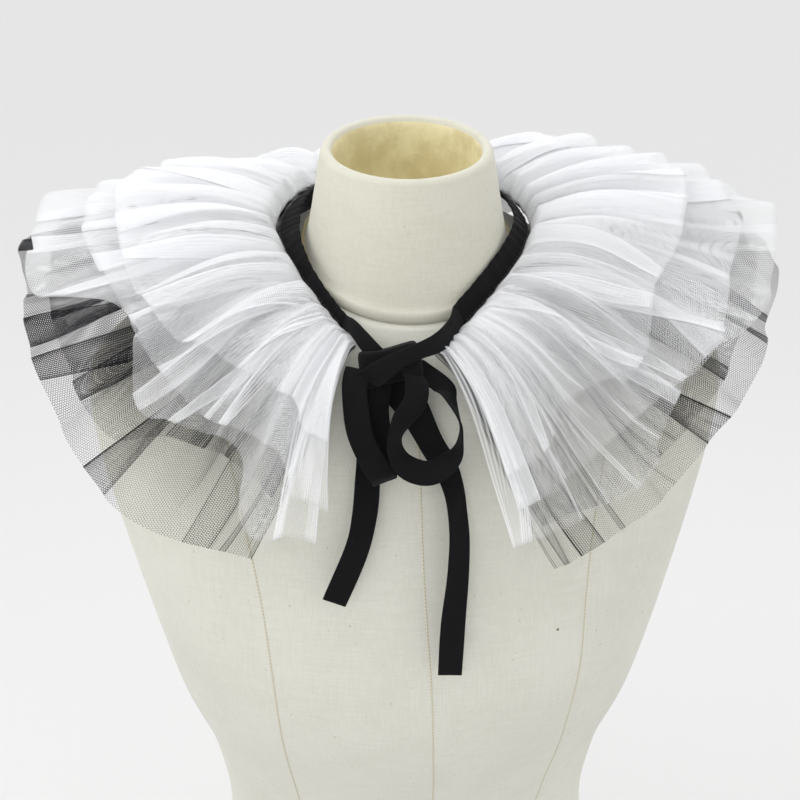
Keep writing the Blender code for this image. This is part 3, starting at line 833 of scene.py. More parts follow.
# How each strip's two cut ends are turned back on themselves: where the fold
# lies at the band and the hem, and how wide the turned part is there.
Turn = namedtuple("Turn", "at_band at_hem wide_at_band wide_at_hem side")
TURNS = {
    "black_tulle_long": (Turn(21.6, 21.2, 0.3, 0.2, 1), Turn(330.8, 331.6, 0.3, 0.5, -1)),
    "black_tulle_short": (Turn(22.6, 23.2, 0.8, 1.6, 1), Turn(330.0, 329.5, 0.7, 1.2, 1)),
    "white_tulle_long": (Turn(21.2, 19.2, 1.2, 0.7, 1), Turn(331.4, 334.5, 1.0, 0.8, 1)),
    "white_tulle_mid": (Turn(22.2, 21.4, 0.7, 0.8, -1), Turn(331.6, 335.5, 0.8, 1.6, -1)),
    "white_tulle_short": (Turn(21.3, 20.4, 0.8, 0.6, 1), Turn(331.2, 333.5, 0.8, 2.2, 1)),
}
TURN_COLUMNS = 10               # columns across a turned end's two thicknesses
COLUMN_STEP = 0.8               # degrees of azimuth between plain columns
PLEAT_COLUMNS = 18              # columns across a pleat's three thicknesses
CREASE_WIDTH = 0.13             # of the line at a fold's edge, as a share of one thickness


def strip_columns(pleats, turns):
    """Each column's azimuth at band and hem, overlap at band and hem, level and crease."""
    rows = []

    def plain(first, last, ends):
        """Columns of flat net from one pair of azimuths to another."""
        count = max(2, int(np.ceil(max(last[0] - first[0], last[1] - first[1]) / COLUMN_STEP)))
        for step in range(1, count):
            share = step / count
            here = [start + (stop - start) * share for start, stop in zip(first, last)]
            rows.append((*here, 0.0, 0.0, ends[0] + (ends[1] - ends[0]) * eased(share), 0.0))

    def folded(fold, plies, columns, way):
        """Columns of a fold with a number of thicknesses, run through one way or the other."""
        for step in range(columns + 1):
            share = step / columns
            swing = -way * cos(plies * pi * share)
            rise = way * (2 * eased(share) - 1.0)
            crease = sum(np.exp(-(((share - turn / plies) * plies / CREASE_WIDTH) ** 2))
                         for turn in range(1, plies))
            rows.append((fold.at_band, fold.at_hem, swing * fold.wide_at_band,
                         swing * fold.wide_at_hem, 1.0 + fold.side * rise, crease))

    def edge_of(fold, side):
        """The azimuths at which a fold starts or ends."""
        return fold.at_band + side * fold.wide_at_band, fold.at_hem + side * fold.wide_at_hem

    folded(turns[0], 2, TURN_COLUMNS, -1)
    here, level = edge_of(turns[0], 1), 1.0 - turns[0].side
    for pleat in pleats:
        plain(here, edge_of(pleat, -1), (level, 1.0 - pleat.side))
        folded(pleat, 3, PLEAT_COLUMNS, 1)
        here, level = edge_of(pleat, 1), 1.0 + pleat.side
    plain(here, edge_of(turns[1], -1), (level, 1.0 - turns[1].side))
    folded(turns[1], 2, TURN_COLUMNS, 1)
    return np.array(rows).T


print(sum(len(pleats) for pleats in PLEATS.values()), "pleats")

# %% [markdown]
# ## The strips of net
#
# A strip is a grid of fine squares whose points are laid on its place in the
# ruff: out from the band along the drape, raised by the large folds, by small
# gathers that fade away from the band, by ripples of its own, and by its
# pleats. It could be gathered by a cloth simulation instead, but only sines and
# tables let each fold lie where it does on the real collar. First come the
# sizes, and then a helper for each of those shapes.

# %% Sizes of the strips
NET_ROWS = 34
ROW_POWER = 1.25                # rows lie closer together near the band
PLY_AT_BAND = 0.35 * MM         # from one thickness of a pleat to the next
PLY_AT_HEM = 0.8 * MM
ROOT_TUCK = 0.009               # within this the strips close up under the binding
TUCKED_RISE = 0.22              # and lie this share of their full rise apart
GATHER_HEIGHT = 4.4 * MM        # of the small tubes that the gathers make
GATHER_GROW = 0.004             # how far out they have opened
GATHER_FADE = 0.034             # and how far out they fade
GATHER_SHUT = 0.6               # how much lower they are where they leave the band
GATHER_ROUNDNESS = 0.7          # 1 is half a sine, and less is fuller
GATHERS_A_FOLD = 1.25
FINE_GATHERS_A_FOLD = 3.1
FINE_SHARE = 0.25               # of the gathers' height in the fine ones
END_PUFF = 0.7                  # how much higher the gathers puff up beside the knot
END_PUFF_FADE = 7.0             # degrees
RIPPLE_HEIGHT = 3.2 * MM        # of a strip's own soft waves
PHASE_WANDER = 0.11             # of a fold, that a strip's folds lie beside the others'
HEM_SOFTNESS = 0.35             # how much flatter the folds are at the hem
HEM_WAVE = 0.065                # of its length, that a hem wanders in and out at the back
GATHER_CROWD = 0.48             # how much closer the threads lie in the gathers
CREASE_CROWD = 1.1              # and along the edge of a pleat
MOST_GATHERED = 2.0             # past which the threads can't crowd any closer
HEM_ROWS_FROM = 0.8             # of the rows, from which the flat width is measured
NET_THICKNESS = 0.25 * MM
CUT_WIDTH_SHARE = 0.92          # of a strip's length along its hem
CUT_LENGTH_SHARE = 0.90         # of its longest reach
UP = np.array((0.0, 0.0, 1.0))
print("each strip has", NET_ROWS, "rows from band to hem")

# %% [markdown]
# ## The edge of the binding
#
# Every strip starts at the lower edge of the binding, a ring round the neck
# that rises to the back and comes down to the knot. A place on it is given by
# its azimuth, so the ring is a function of that one angle.

# %% The edge of the binding


def outward(heading):
    """The level direction away from the neck at each of an array of headings."""
    turn = np.radians(heading)
    return np.stack([np.sin(turn), -np.cos(turn), np.zeros_like(turn)], -1)


def band_edge(azimuth):
    """The lower edge of the binding at each of an array of azimuths."""
    turn = np.radians(azimuth)
    ahead = np.maximum(np.cos(turn), 0.0)
    behind = np.maximum(-np.cos(turn), 0.0)
    half_width = BAND_HALF_WIDTH * (1 - BAND_PINCH * ahead**PINCH_POWER)
    x = BAND_SHIFT + KNOT_SHIFT * ahead**2 + half_width * np.sin(turn)
    y = BAND_BACK * behind - BAND_FRONT * ahead
    return np.stack([x, y, BAND_HEIGHT - BAND_FALL * ahead**FALL_POWER + BAND_RISE * behind], -1)


ring = band_edge(np.arange(0.0, 361.0))
print("binding's edge", round(float(np.linalg.norm(np.diff(ring, axis=0), axis=1).sum()), 3), "m round")

# %% [markdown]
# ## Out along the drape
#
# From the edge a strip runs out in many short straight pieces. Each piece leans
# down a little more than the one before, until the net droops as it does where
# it lies over the shoulder.

# %% Out along the drape


def fold_number(azimuth):
    """Each azimuth as a place between the large folds, counted from the first."""
    return np.interp(azimuth, [fold.azimuth for fold in FOLDS], range(len(FOLDS)))


def swept_back(net, azimuth, share):
    """The azimuths that a strip has reached at shares of its length."""
    from_right = np.maximum(1 - (azimuth - FOLDS[0].azimuth) / SWEEP_FADE, 0.0)
    from_left = np.maximum(1 - (FOLDS[-1].azimuth - azimuth) / SWEEP_FADE, 0.0)
    return azimuth + net.sweep * share * (from_right - from_left)


def hem_reach(net, azimuth, share, seed):
    """How much of its full length a strip has run, at shares of what it has there."""
    number = fold_number(azimuth)
    reach = share * read_table(HEMS, "azimuth", net.name, azimuth)
    wander = HEM_WAVE * read_table(FULLNESS, "azimuth", "wander", azimuth)
    return reach * (1 + wander * np.sin(2.1 * number + 1.7 * seed) * np.sin(0.83 * number + seed))


def along_drape(net, azimuth, reach):
    """A strip without its folds: its points, how far they have run, and its up and across there."""
    spread = read_table(DRAPES, "azimuth", "spread", azimuth)
    leave = read_table(DRAPES, "azimuth", "leave", azimuth) + net.lift * spread
    droop = read_table(DRAPES, "azimuth", "droop", azimuth) + net.lift * spread
    way = net.length * read_table(DRAPES, "azimuth", "reach", azimuth) * reach
    out = outward(read_table(DRAPES, "azimuth", "heading", azimuth))
    points = band_edge(azimuth) + outward(azimuth) * ROOT_OUT
    for piece in range(WAY_PIECES):
        bent = np.minimum((piece + 0.5) / WAY_PIECES * way / BEND_LENGTH, 1.0)
        slope = np.radians(leave + (droop - leave) * eased(bent))[..., None]
        points = points + (out * np.cos(slope) + UP * np.sin(slope)) * (way / WAY_PIECES)[..., None]
    across = np.stack([-out[..., 1], out[..., 0], out[..., 2]], -1)
    return points, way, UP * np.cos(slope) - out * np.sin(slope), across


print("a strip's bend is made of", WAY_PIECES, "pieces")

# %% [markdown]
# ## Gathers and ripples
#
# Where the net is gathered in it stands up in small tubes, a few large and more
# fine ones, which puff up most beside the knot. Further out it has soft ripples
# instead. Both are sums of sines whose steps don't fit each other, because
# evenly spaced folds would look machine made.

# %% Gathers and ripples


def gathers(azimuth, way, seed):
    """The height of the small tubes beside the band, which fade away from it."""
    number = fold_number(azimuth)
    tube = np.abs(np.sin(pi * GATHERS_A_FOLD * number + 0.9 * np.sin(1.1 * number + 0.4 * seed) + 0.4 * seed))
    fine = np.abs(np.sin(pi * FINE_GATHERS_A_FOLD * number + seed))
    tube = (1 - FINE_SHARE) * tube + FINE_SHARE * fine
    from_knot = np.minimum(azimuth - FOLDS[0].azimuth, FOLDS[-1].azimuth - azimuth)
    puff = 1 + END_PUFF * np.exp(-np.maximum(from_knot, 0.0) / END_PUFF_FADE)
    opened = 1 - GATHER_SHUT * np.exp(-way / GATHER_GROW)
    return GATHER_HEIGHT * puff * np.exp(-way / GATHER_FADE) * opened * (1.6 * tube**GATHER_ROUNDNESS - 1.0)


def ripples(number, share, seed):
    """Uneven soft waves across a strip, from about -1 to 1."""
    total = 0.55 * np.sin(2 * pi * (0.57 * number + 0.37 * seed) + 1.6 * np.sin(0.9 * number + seed))
    total += 0.25 * np.sin(2 * pi * (1.6 * number - 0.6 * share + 0.61 * seed) + np.sin(1.7 * number))
    return total + 0.35 * np.sin(2 * pi * (0.31 * number + 0.7 * share + 0.23 * seed))


print("gathers up to", GATHER_HEIGHT / MM, "mm high, ripples up to", RIPPLE_HEIGHT / MM, "mm")

# %% [markdown]
# ## Measuring the cloth
#
# The net was cut straight, so each of its rows is as long as the hem. Where a
# row on the laid strip is shorter, the cloth is gathered in by just that much,
# and its threads lie closer together.

# %% Measuring the cloth


def cloth_widths(points):
    """A strip's flat width up to each column, and how far its cloth is gathered in at each point."""
    steps = np.linalg.norm(np.diff(points, axis=0), axis=-1)
    flat_step = steps[:, int(NET_ROWS * HEM_ROWS_FROM):].mean(axis=1)
    gathered = flat_step[:, None] / np.maximum(steps, 0.1 * MM)
    gathered = np.clip(np.vstack([gathered, gathered[-1:]]) - 1.0, 0.0, MOST_GATHERED)
    return np.concatenate([[0.0], np.cumsum(flat_step)]), gathered


print("flat widths are measured over the last", NET_ROWS - int(NET_ROWS * HEM_ROWS_FROM), "rows")

# %% [markdown]
# ## Laying a strip
#
# The helpers are put together here. The threads' crowding is kept as an
# attribute of the mesh, for the finish to read. Each strip is a sheet of cloth,
# and the size it was cut to is printed. Its width is measured on the
# laid net near the hem, and its depth comes from the strip's length.

# %% Laying a strip


def lay_net(net, seed):
    """The points of a strip, columns by rows, with its flat width and its crowding."""
    columns = strip_columns(PLEATS[net.name], TURNS[net.name])
    at_band, at_hem, wide_at_band, wide_at_hem, level, crease = columns
    share = (np.arange(NET_ROWS) / (NET_ROWS - 1)) ** ROW_POWER
    middle = at_band[:, None] + (at_hem - at_band)[:, None] * share
    swing = wide_at_band[:, None] + (wide_at_hem - wide_at_band)[:, None] * share
    azimuth = swept_back(net, middle + swing, share)
    number = fold_number(azimuth)
    reach = hem_reach(net, azimuth, share, seed)
    points, way, upright, across = along_drape(net, azimuth, reach)
    phase = 2 * pi * (number + PHASE_WANDER * np.sin(1.3 * number + 2.1 * seed)) + radians(net.slip) * reach
    swell = read_table(SWELLS, "share", "height", reach) * read_table(FOLDS, "azimuth", "height", azimuth)
    swell = swell * (1 - HEM_SOFTNESS * reach)
    opened = 1 - np.exp(-way / GATHER_FADE)
    ripple = RIPPLE_HEIGHT * (0.3 + 0.7 * reach) * opened * ripples(number, reach, seed)
    ply = (PLY_AT_BAND + (PLY_AT_HEM - PLY_AT_BAND) * reach) * (level[:, None] - 1.0)
    tuck = TUCKED_RISE + (1 - TUCKED_RISE) * np.minimum(way / ROOT_TUCK, 1.0)
    height = (net.rise + swell * np.cos(phase)) * tuck + gathers(azimuth, way, seed) + ripple + ply
    points = points + upright * height[..., None]
    points = points + across * (swell * FOLD_SWAY * np.sin(2 * phase))[..., None]
    width, gathered = cloth_widths(points)
    fullness = read_table(FULLNESS, "azimuth", "crowd", azimuth)
    crowding = fullness + GATHER_CROWD * gathered + CREASE_CROWD * crease[:, None] * (0.5 + 0.5 * share)
    return points, width, share * net.length, crowding


def make_strip(net, seed, finish):
    """One strip of net in place of its solid."""
    points, width, down, crowding = lay_net(net, seed)
    flat = np.stack(np.broadcast_arrays(width[:, None], down), -1)
    piece = finish_piece(net.name + "_sheet", lay_grid(points, flat), finish, net.name)
    mesh = piece.data
    mesh.attributes.new("crowding", "FLOAT", "POINT").data.foreach_set("value", crowding.T.ravel())
    thin = piece.modifiers.new("Thread thickness", "SOLIDIFY")
    thin.thickness = NET_THICKNESS
    thin.offset = 0.0
    cut = (float(width[-1]) * CUT_WIDTH_SHARE, net.length * CUT_LENGTH_SHARE)
    laid = sum(face.area for face in mesh.polygons) / (cut[0] * cut[1])
    print(net.name, "cut", [round(side, 3) for side in cut], "laid area share", round(laid, 2))


for seed, net in enumerate(NETS):
    if net.name.startswith("white"):
        make_strip(net, seed, white_net)
    else:
        make_strip(net, seed, black_net)

# %% [markdown]
# ## Cotton finish
#
# The binding and the bow are one black cotton tape. It is matte, with a fine
# weave that runs along the tape, a faint bloom at its edges and a few pale
# specks of lint. The weave follows the tape round its bends, so it reads the
# piece's own flat map.

# %% Cotton finish
COTTON = (0.0030, 0.0030, 0.0038)
LINT = (0.08, 0.08, 0.09)
COTTON_PITCH = 0.55 * MM
COTTON_DEPTH = 0.08 * MM
COTTON_UNEVEN = 320.0           # soft cells of noise to a metre
LINT_SPECKS = 620.0             # the same, for the lint


def cotton_finish():
    """Matte black woven tape."""
    finish, tree, output = new_finish("black cotton")
    place = add_node(tree, "UVMap", uv_map="cloth").outputs["UV"]
    along, across, _ = add_node(tree, "SeparateXYZ", {0: place}).outputs
    warp = maths(tree, "SINE", maths(tree, "MULTIPLY", across, 2 * pi / COTTON_PITCH))
    weft = maths(tree, "SINE", maths(tree, "MULTIPLY", along, 2 * pi / COTTON_PITCH))
    uneven = noise(tree, place, COTTON_UNEVEN, 3.0)
    lint = ramp(tree, noise(tree, place, LINT_SPECKS, 1.0), 0.75, 0.82)
    colour = blend_colours(tree, maths(tree, "MULTIPLY", lint, 0.5), COTTON, LINT)
    height = maths(tree, "MULTIPLY_ADD", uneven, 2.0, maths(tree, "MULTIPLY", warp, weft))
    bump = add_node(tree, "Bump", {"Strength": 0.6, "Distance": COTTON_DEPTH, "Height": height})
    cover(tree, output, {"Base Color": colour, "Roughness": 0.8, "Specular IOR Level": 0.16,
                         "Sheen Weight": 0.03, "Sheen Roughness": 0.4, "Normal": bump.outputs["Normal"]})
    return finish


cotton = cotton_finish()
print("cotton threads", COTTON_PITCH / MM, "mm apart")

# %% [markdown]
# ## Tape
#
# Every length of tape is the same thing: a soft flat section carried along a
# way. Its edges are folded in, so they are round, and the section may be a
# little hollow. A curve with a bevel would make it too, but couldn't turn over
# just where a tied tape does. So a run holds the way, the direction of the
# tape's width and of its face, the share of the full width that shows, and how
# far the tape is pushed out, each step by step.

# %% Tape
PROFILE_POINTS = 20
EDGE_SQUARENESS = 0.45          # 1 is an oval section, near 0 a square one
EDGE_STIFFNESS = 0.4            # how much less the tape's edges are pushed about
Run = namedtuple("Run", "way wide face full lift")


def tape_profile():
    """Places round a tape's section: across its width and through it, from -1 to 1."""
    turn = np.linspace(0, 2 * pi, PROFILE_POINTS + 1)
    across = np.sign(np.cos(turn)) * np.abs(np.cos(turn)) ** EDGE_SQUARENESS
    through = np.sign(np.sin(turn)) * np.abs(np.sin(turn)) ** (2 * EDGE_SQUARENESS)
    return across, through


def make_tape(name, run, width, thickness, node, cup=0.0):
    """A closed flat tape along a run, with its width at each step of it."""
    across, through = tape_profile()
    length = np.concatenate([[0.0], np.cumsum(np.linalg.norm(np.diff(run.way, axis=0), axis=1))])
    lift = run.lift[:, None] * (1 - EDGE_STIFFNESS * across**2)
    out = through * thickness / 2 + lift + cup * (across**2 - 0.5)
    side = across * width[:, None] / 2
    points = run.way[:, None] + run.wide[:, None] * side[..., None] + run.face[:, None] * out[..., None]
    flat = np.stack(np.broadcast_arrays(length[:, None], side), -1)
    edit = lay_grid(points.transpose(1, 0, 2), flat.transpose(1, 0, 2), closed=True)
    close_ends(edit)
    finish_piece(name, edit, cotton, node)


def step_along(way):
    """The direction of a way at each of its points."""
    ahead = np.gradient(way, axis=0)
    return ahead / np.linalg.norm(ahead, axis=1, keepdims=True)


# A stop says where the tape's middle is, which way its width points, and what
# share of its full width shows.
Stop = namedtuple("Stop", "x y z wide_x wide_y wide_z full", defaults=(1.0,))
NumberedStop = namedtuple("NumberedStop", ("number",) + Stop._fields)
RIBBON_STEPS = 9                # sections from one stop to the next


def tape_run(stops, wave=None):
    """The run of a tape along its stops; a wave gives its lift by the number of the stop."""
    table = [NumberedStop(number, *stop) for number, stop in enumerate(stops)]
    at = np.linspace(0, len(stops) - 1, (len(stops) - 1) * RIBBON_STEPS + 1)
    way = np.stack([read_table(table, "number", axis, at) for axis in "xyz"], -1)
    wide = np.stack([read_table(table, "number", "wide_" + axis, at) for axis in "xyz"], -1)
    along = step_along(way)
    wide = wide - along * (wide * along).sum(axis=1, keepdims=True)
    wide = wide / np.linalg.norm(wide, axis=1, keepdims=True)
    lift = wave(at) if wave else np.zeros_like(at)
    return Run(way, wide, np.cross(along, wide), read_table(table, "number", "full", at), lift)


print("tape section of", PROFILE_POINTS, "points")

# %% [markdown]
# ## The neckband
#
# The strips are gathered into a binding that lies on the root of the neck like
# a collar stand. The gathers push it about, so its face is puckered all the way
# round, and a row of stitches runs along its lower edge. The same tape is what
# ties the bow, so it runs on over the knot in front, and this is one piece.

# %% The neckband
RIBBON_WIDTH = 0.0150
BAND_THICKNESS = 0.0022
BAND_ENDS = (38.0, 322.0)       # of the stretch that lies on the gathers, in azimuth
BAND_COLUMNS = 330
BAND_LAP = 8                    # columns over which each end of the tape joins them
PUCKER_HEIGHT = 0.45 * MM
# How far the band stands up from level, in degrees, and how wide it lies there.
Lean = namedtuple("Lean", "azimuth lean width")
LEANS = [
    Lean(14, 66, 0.0120),
    Lean(30, 64, 0.0140),
    Lean(50, 62, 0.0150),
    Lean(90, 46, 0.0135),
    Lean(180, 50, 0.0140),
    Lean(250, 32, 0.0150),
    Lean(270, 28, 0.0155),
    Lean(285, 40, 0.0125),
    Lean(300, 56, 0.0100),
    Lean(318, 62, 0.0088),
    Lean(336, 66, 0.0095),
]


def band_frame(azimuth):
    """The binding's lower edge, its direction up its width, and its face, by azimuth."""
    lean = np.radians(read_table(LEANS, "azimuth", "lean", azimuth))[:, None]
    out = outward(azimuth)
    up_band = -out * np.cos(lean) + UP * np.sin(lean)
    along = np.stack([-out[:, 1], out[:, 0], out[:, 2]], -1)
    face = np.cross(along, up_band)
    face = face / np.linalg.norm(face, axis=1, keepdims=True)
    face = face * np.sign((face * out).sum(axis=1, keepdims=True))
    return band_edge(azimuth), up_band, face


def band_pucker(azimuth):
    """How far the gathers push the binding out."""
    number = fold_number(azimuth)
    fine = np.sin(2 * pi * 2.3 * number + 1.4 * np.sin(0.8 * number))
    return PUCKER_HEIGHT * (0.6 * fine + 0.4 * np.sin(2 * pi * 0.9 * number + 0.7))


# The tape's one end crosses over the knot with a twist and is drawn under it.
OVER_KNOT = [
    Stop(-0.0325, -0.1050, 0.6085, -0.95, 0.0, 0.1, 0.90),
    Stop(-0.0322, -0.1115, 0.6130, -0.90, 0.0, 0.3, 1.00),
    Stop(-0.0285, -0.1170, 0.6190, -0.80, 0.1, 0.6, 1.00),
    Stop(-0.0215, -0.1200, 0.6255, -0.60, 0.2, 0.8, 0.88),
    Stop(-0.0124, -0.1185, 0.6305, -0.40, 0.2, 0.9, 0.70),
    Stop(-0.0003, -0.1120, 0.6328, -0.20, 0.3, 0.9, 0.66),
    Stop(0.0110, -0.1025, 0.6335, -0.10, 0.3, 0.9, 0.80),
    Stop(0.0205, -0.0885, 0.6352, -0.10, 0.4, 0.9, 0.92),
]
# Its other end runs down behind the knot.
BEHIND_KNOT = [
    Stop(-0.0385, -0.0850, 0.6375, 0.10, 0.5, 0.9, 0.62),
    Stop(-0.0334, -0.0950, 0.6345, 0.20, 0.4, 0.9, 0.66),
    Stop(-0.0275, -0.1020, 0.6290, 0.30, 0.3, 0.9, 0.72),
    Stop(-0.0220, -0.1050, 0.6230, 0.40, 0.2, 0.8, 0.78),
]

band_azimuths = np.linspace(*BAND_ENDS, BAND_COLUMNS)
low, up_band, band_face = band_frame(band_azimuths)
band_width = read_table(LEANS, "azimuth", "width", band_azimuths)
pucker = band_pucker(band_azimuths)
band_middle = low + up_band * (band_width / 2 + 0.5 * pucker)[:, None]


def band_stop(column):
    """The stop at one column of the band, where an end of it begins."""
    return Stop(*band_middle[column], *up_band[column], band_width[column] / RIBBON_WIDTH)


def make_neckband():
    """The whole binding from under the knot, over it, round the neck and back behind it."""
    over = tape_run(OVER_KNOT + [band_stop(0), band_stop(BAND_LAP)])
    behind = tape_run([band_stop(-1 - BAND_LAP), band_stop(-1)] + BEHIND_KNOT)
    share_of_tape = (band_width + 0.8 * pucker) / RIBBON_WIDTH
    on_gathers = Run(band_middle, up_band, band_face, share_of_tape, pucker)
    # The last two stops of one end and the first two of the other lie on the gathers.
    run = Run(*[np.concatenate([before[:-RIBBON_STEPS - 1], middle, after[RIBBON_STEPS + 1:]])
                for before, middle, after in zip(over, on_gathers, behind)])
    make_tape("neckband_tape", run, run.full * RIBBON_WIDTH, BAND_THICKNESS, "neckband")


make_neckband()

# %% [markdown]
# ## The stitches of the neckband
#
# The binding is sewn down along its lower edge. Each stitch is a tiny block,
# because at this size its ends can't be seen, and all of them are one mesh.

# %% The stitches of the neckband
STITCH_IN = 1.8 * MM            # up from the binding's lower edge
STITCH_EVERY = 2                # band columns from one stitch to the next
STITCH_LENGTH = 1.4 * MM
STITCH_WIDTH = 0.35 * MM
STITCH_RISE = 0.3 * MM
PUCKER_AT_EDGE = 0.7            # how much of the band's pucker is left there
THREAD_COLOUR = (0.016, 0.016, 0.018)


def make_band_stitches():
    """A row of small stitches along the lower edge of the binding."""
    edit = bmesh.new()
    along = step_along(band_middle)
    for column in range(2, BAND_COLUMNS - 2, STITCH_EVERY):
        raised = band_face[column] * (BAND_THICKNESS / 2 + pucker[column] * PUCKER_AT_EDGE)
        middle = low[column] + up_band[column] * STITCH_IN + raised
        for vertex in bmesh.ops.create_cube(edit, size=1.0)["verts"]:
            x, y, z = vertex.co
            vertex.co = (middle + along[column] * x * STITCH_LENGTH + up_band[column] * y * STITCH_WIDTH
                         + band_face[column] * z * STITCH_RISE)
    bmesh.ops.recalc_face_normals(edit, faces=edit.faces)
    thread = plain_finish("black thread", THREAD_COLOUR, 0.5, sheen=0.3)
    finish_piece("neckband_stitches", edit, thread)


make_band_stitches()

# %% [markdown]
# ## The bow
#
# Each loop and each tail is a length of tape along a few listed stops,
# because it is the turns of a tape that make a bow look tied and not cut out.
# Their upper ends run on into the knot.

# %% The bow
RIBBON_THICKNESS = 0.0013
RIBBON_HOLLOW = 0.35 * MM
WRINKLE_HEIGHT = 0.22 * MM
UNEVEN_WIDTH = 0.02             # of a ribbon's width, wider and narrower

LOOP_LEFT = [
    Stop(-0.0365, -0.1120, 0.6225, 1.0, 0.0, 0.1),
    Stop(-0.0390, -0.1185, 0.6140, 1.0, 0.0, 0.0),
    Stop(-0.0386, -0.1250, 0.6010, 1.0, 0.0, 0.0),
    Stop(-0.0361, -0.1300, 0.5865, 1.0, 0.0, 0.2),
    Stop(-0.0300, -0.1345, 0.5735, 0.9, 0.1, 0.3),
    Stop(-0.0240, -0.1355, 0.5635, 0.9, 0.1, 0.3),
    Stop(-0.0225, -0.1290, 0.5570, 0.9, 0.1, 0.3),
    Stop(-0.0225, -0.1220, 0.5630, 0.9, 0.1, 0.3),
    Stop(-0.0245, -0.1185, 0.5790, 1.0, 0.0, 0.2),
    Stop(-0.0262, -0.1160, 0.5940, 1.0, 0.0, 0.0),
    Stop(-0.0255, -0.1135, 0.6050, 1.0, 0.0, 0.0),
    Stop(-0.0225, -0.1095, 0.6155, 1.0, 0.0, 0.0),
]
LOOP_RIGHT = [
    Stop(-0.0020, -0.1040, 0.6180, 0.6, 0.6, 0.3),
    Stop(0.0110, -0.1105, 0.6110, 0.4, 0.8, 0.3),
    Stop(0.0166, -0.1200, 0.6055, 0.3, 0.9, 0.0),
    Stop(0.0224, -0.1290, 0.5900, 0.0, 0.9, -0.3),
    Stop(0.0184, -0.1350, 0.5757, -0.1, 0.9, 0.3),
    Stop(0.0035, -0.1390, 0.5665, 0.0, 0.5, 0.9),
    Stop(-0.0120, -0.1385, 0.5725, 0.4, 0.7, 0.6),
    Stop(-0.0168, -0.1350, 0.5862, 0.6, 0.8, 0.1),
    Stop(-0.0117, -0.1310, 0.5980, 0.8, 0.4, -0.4),
    Stop(-0.0040, -0.1255, 0.6070, 0.8, 0.1, -0.5),
    Stop(-0.0030, -0.1200, 0.6160, 0.8, 0.1, -0.4),
    Stop(-0.0060, -0.1120, 0.6210, 0.8, 0.1, -0.4),
]
TAIL_LEFT = [
    Stop(-0.0200, -0.1020, 0.6190, 1.0, 0.0, 0.0),
    Stop(-0.0235, -0.1050, 0.6060, 1.0, 0.0, 0.0),
    Stop(-0.0292, -0.1095, 0.5814, 1.0, 0.0, 0.0),
    Stop(-0.0314, -0.1150, 0.5561, 1.0, 0.0, 0.0),
    Stop(-0.0340, -0.1240, 0.5325, 1.0, 0.0, -0.1),
    Stop(-0.0398, -0.1310, 0.5109, 1.0, 0.0, -0.3),
    Stop(-0.0536, -0.1360, 0.4791, 0.9, 0.0, -0.5),
]
TAIL_RIGHT = [
    Stop(-0.0210, -0.1020, 0.6200, 0.9, 0.0, 0.4, 1.3),
    Stop(-0.0120, -0.1060, 0.6060, 0.9, 0.0, 0.4, 1.4),
    Stop(-0.0030, -0.1090, 0.5919, 0.9, 0.0, 0.5, 1.25),
    Stop(0.0067, -0.1140, 0.5727, 0.9, 0.1, 0.4),
    Stop(0.0161, -0.1220, 0.5570, 0.8, 0.4, 0.3),
    Stop(0.0211, -0.1300, 0.5337, 0.8, 0.6, 0.0),
    Stop(0.0214, -0.1370, 0.5035, 0.9, 0.4, 0.0),
    Stop(0.0178, -0.1430, 0.4648, 1.0, 0.1, 0.0),
    Stop(0.0160, -0.1460, 0.4312, 1.0, 0.0, 0.0),
]


def make_ribbon(node, stops, seed):
    """One length of tape along its stops, with soft wrinkles of its own."""

    def wrinkles(at):
        """How far the tape is pushed out, by the number of the stop."""
        return WRINKLE_HEIGHT * (np.sin(2.1 * at * pi + seed) + 0.6 * np.sin(4.7 * at + 2 * seed))

    run = tape_run(stops, wrinkles)
    at = np.linspace(0, len(stops) - 1, len(run.full))
    width = RIBBON_WIDTH * run.full * (1 + UNEVEN_WIDTH * np.sin(3.3 * at + seed))
    make_tape(node + "_tape", run, width, RIBBON_THICKNESS, node, cup=RIBBON_HOLLOW)


RIBBONS = {"loop_left": LOOP_LEFT, "loop_right": LOOP_RIGHT, "tail_left": TAIL_LEFT, "tail_right": TAIL_RIGHT}
for seed, (node, stops) in enumerate(RIBBONS.items()):
    make_ribbon(node, stops, seed)

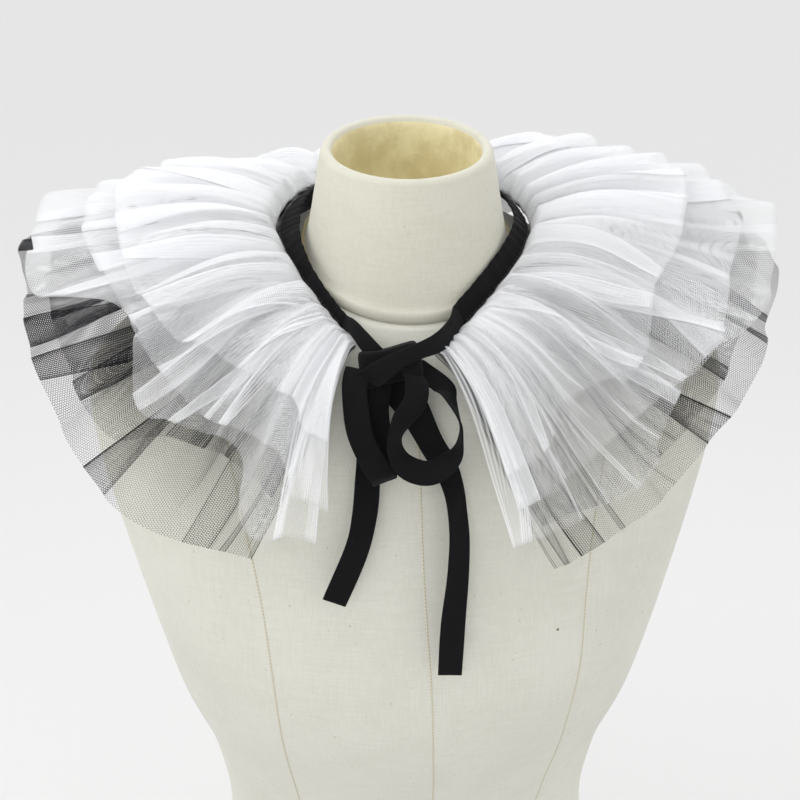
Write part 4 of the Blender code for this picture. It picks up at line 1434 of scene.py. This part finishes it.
# %% [markdown]
# ## The knot
#
# Under the crossing tape the knot is a soft lump of folded cotton. It starts
# as a cube, is drawn in at the middle, and is smoothed by subdivision.

# %% The knot
KNOT_CENTRE = Vector((-0.0170, -0.1035, 0.6205))
KNOT_SIZE = Vector((0.036, 0.022, 0.024))
KNOT_FULLNESS = 1.12            # to make up for what the smoothing takes off
KNOT_TURN = -12                 # degrees, its right end up
KNOT_LEAN = -20                 # degrees, its top back
KNOT_WAIST = 0.80               # of its full girth, in the middle
GROOVE = 0.03                   # of its girth, in and out
CORNER = 0.87                   # of a cube one across, from its middle
CORNER_PULL = 0.22              # how far the corners are drawn in
KNOT_CUTS = 5


def make_knot_lump():
    """The folded cotton inside the knot."""
    edit = bmesh.new()
    bmesh.ops.create_cube(edit, size=1.0)
    bmesh.ops.subdivide_edges(edit, edges=edit.edges, cuts=KNOT_CUTS, use_grid_fill=True)
    for vertex in edit.verts:
        place = vertex.co
        waist = KNOT_WAIST + (1 - KNOT_WAIST) * (2 * abs(place.x)) ** 2
        groove = GROOVE * sin(9 * place.x + 5 * place.z)
        vertex.co = Vector((place.x, place.y * waist * (1 + groove), place.z * waist * (1 - groove)))
        vertex.co *= 1.0 - CORNER_PULL * (vertex.co.length / CORNER) ** 2
    turn = Euler((radians(KNOT_LEAN), radians(KNOT_TURN), 0.0)).to_matrix()
    bmesh.ops.scale(edit, vec=KNOT_SIZE * KNOT_FULLNESS, verts=edit.verts)
    bmesh.ops.rotate(edit, cent=(0, 0, 0), matrix=turn, verts=edit.verts)
    bmesh.ops.translate(edit, vec=KNOT_CENTRE, verts=edit.verts)
    # The cotton finish reads a flat map, so the knot gets one seen from the front.
    cloth_map = edit.loops.layers.uv.new("cloth")
    for face in edit.faces:
        for loop in face.loops:
            loop[cloth_map].uv = (loop.vert.co.x, loop.vert.co.z)
    piece = finish_piece("knot_lump", edit, cotton, "knot")
    soft = piece.modifiers.new("Soft folds", "SUBSURF")
    soft.levels = 2
    soft.render_levels = 2


make_knot_lump()
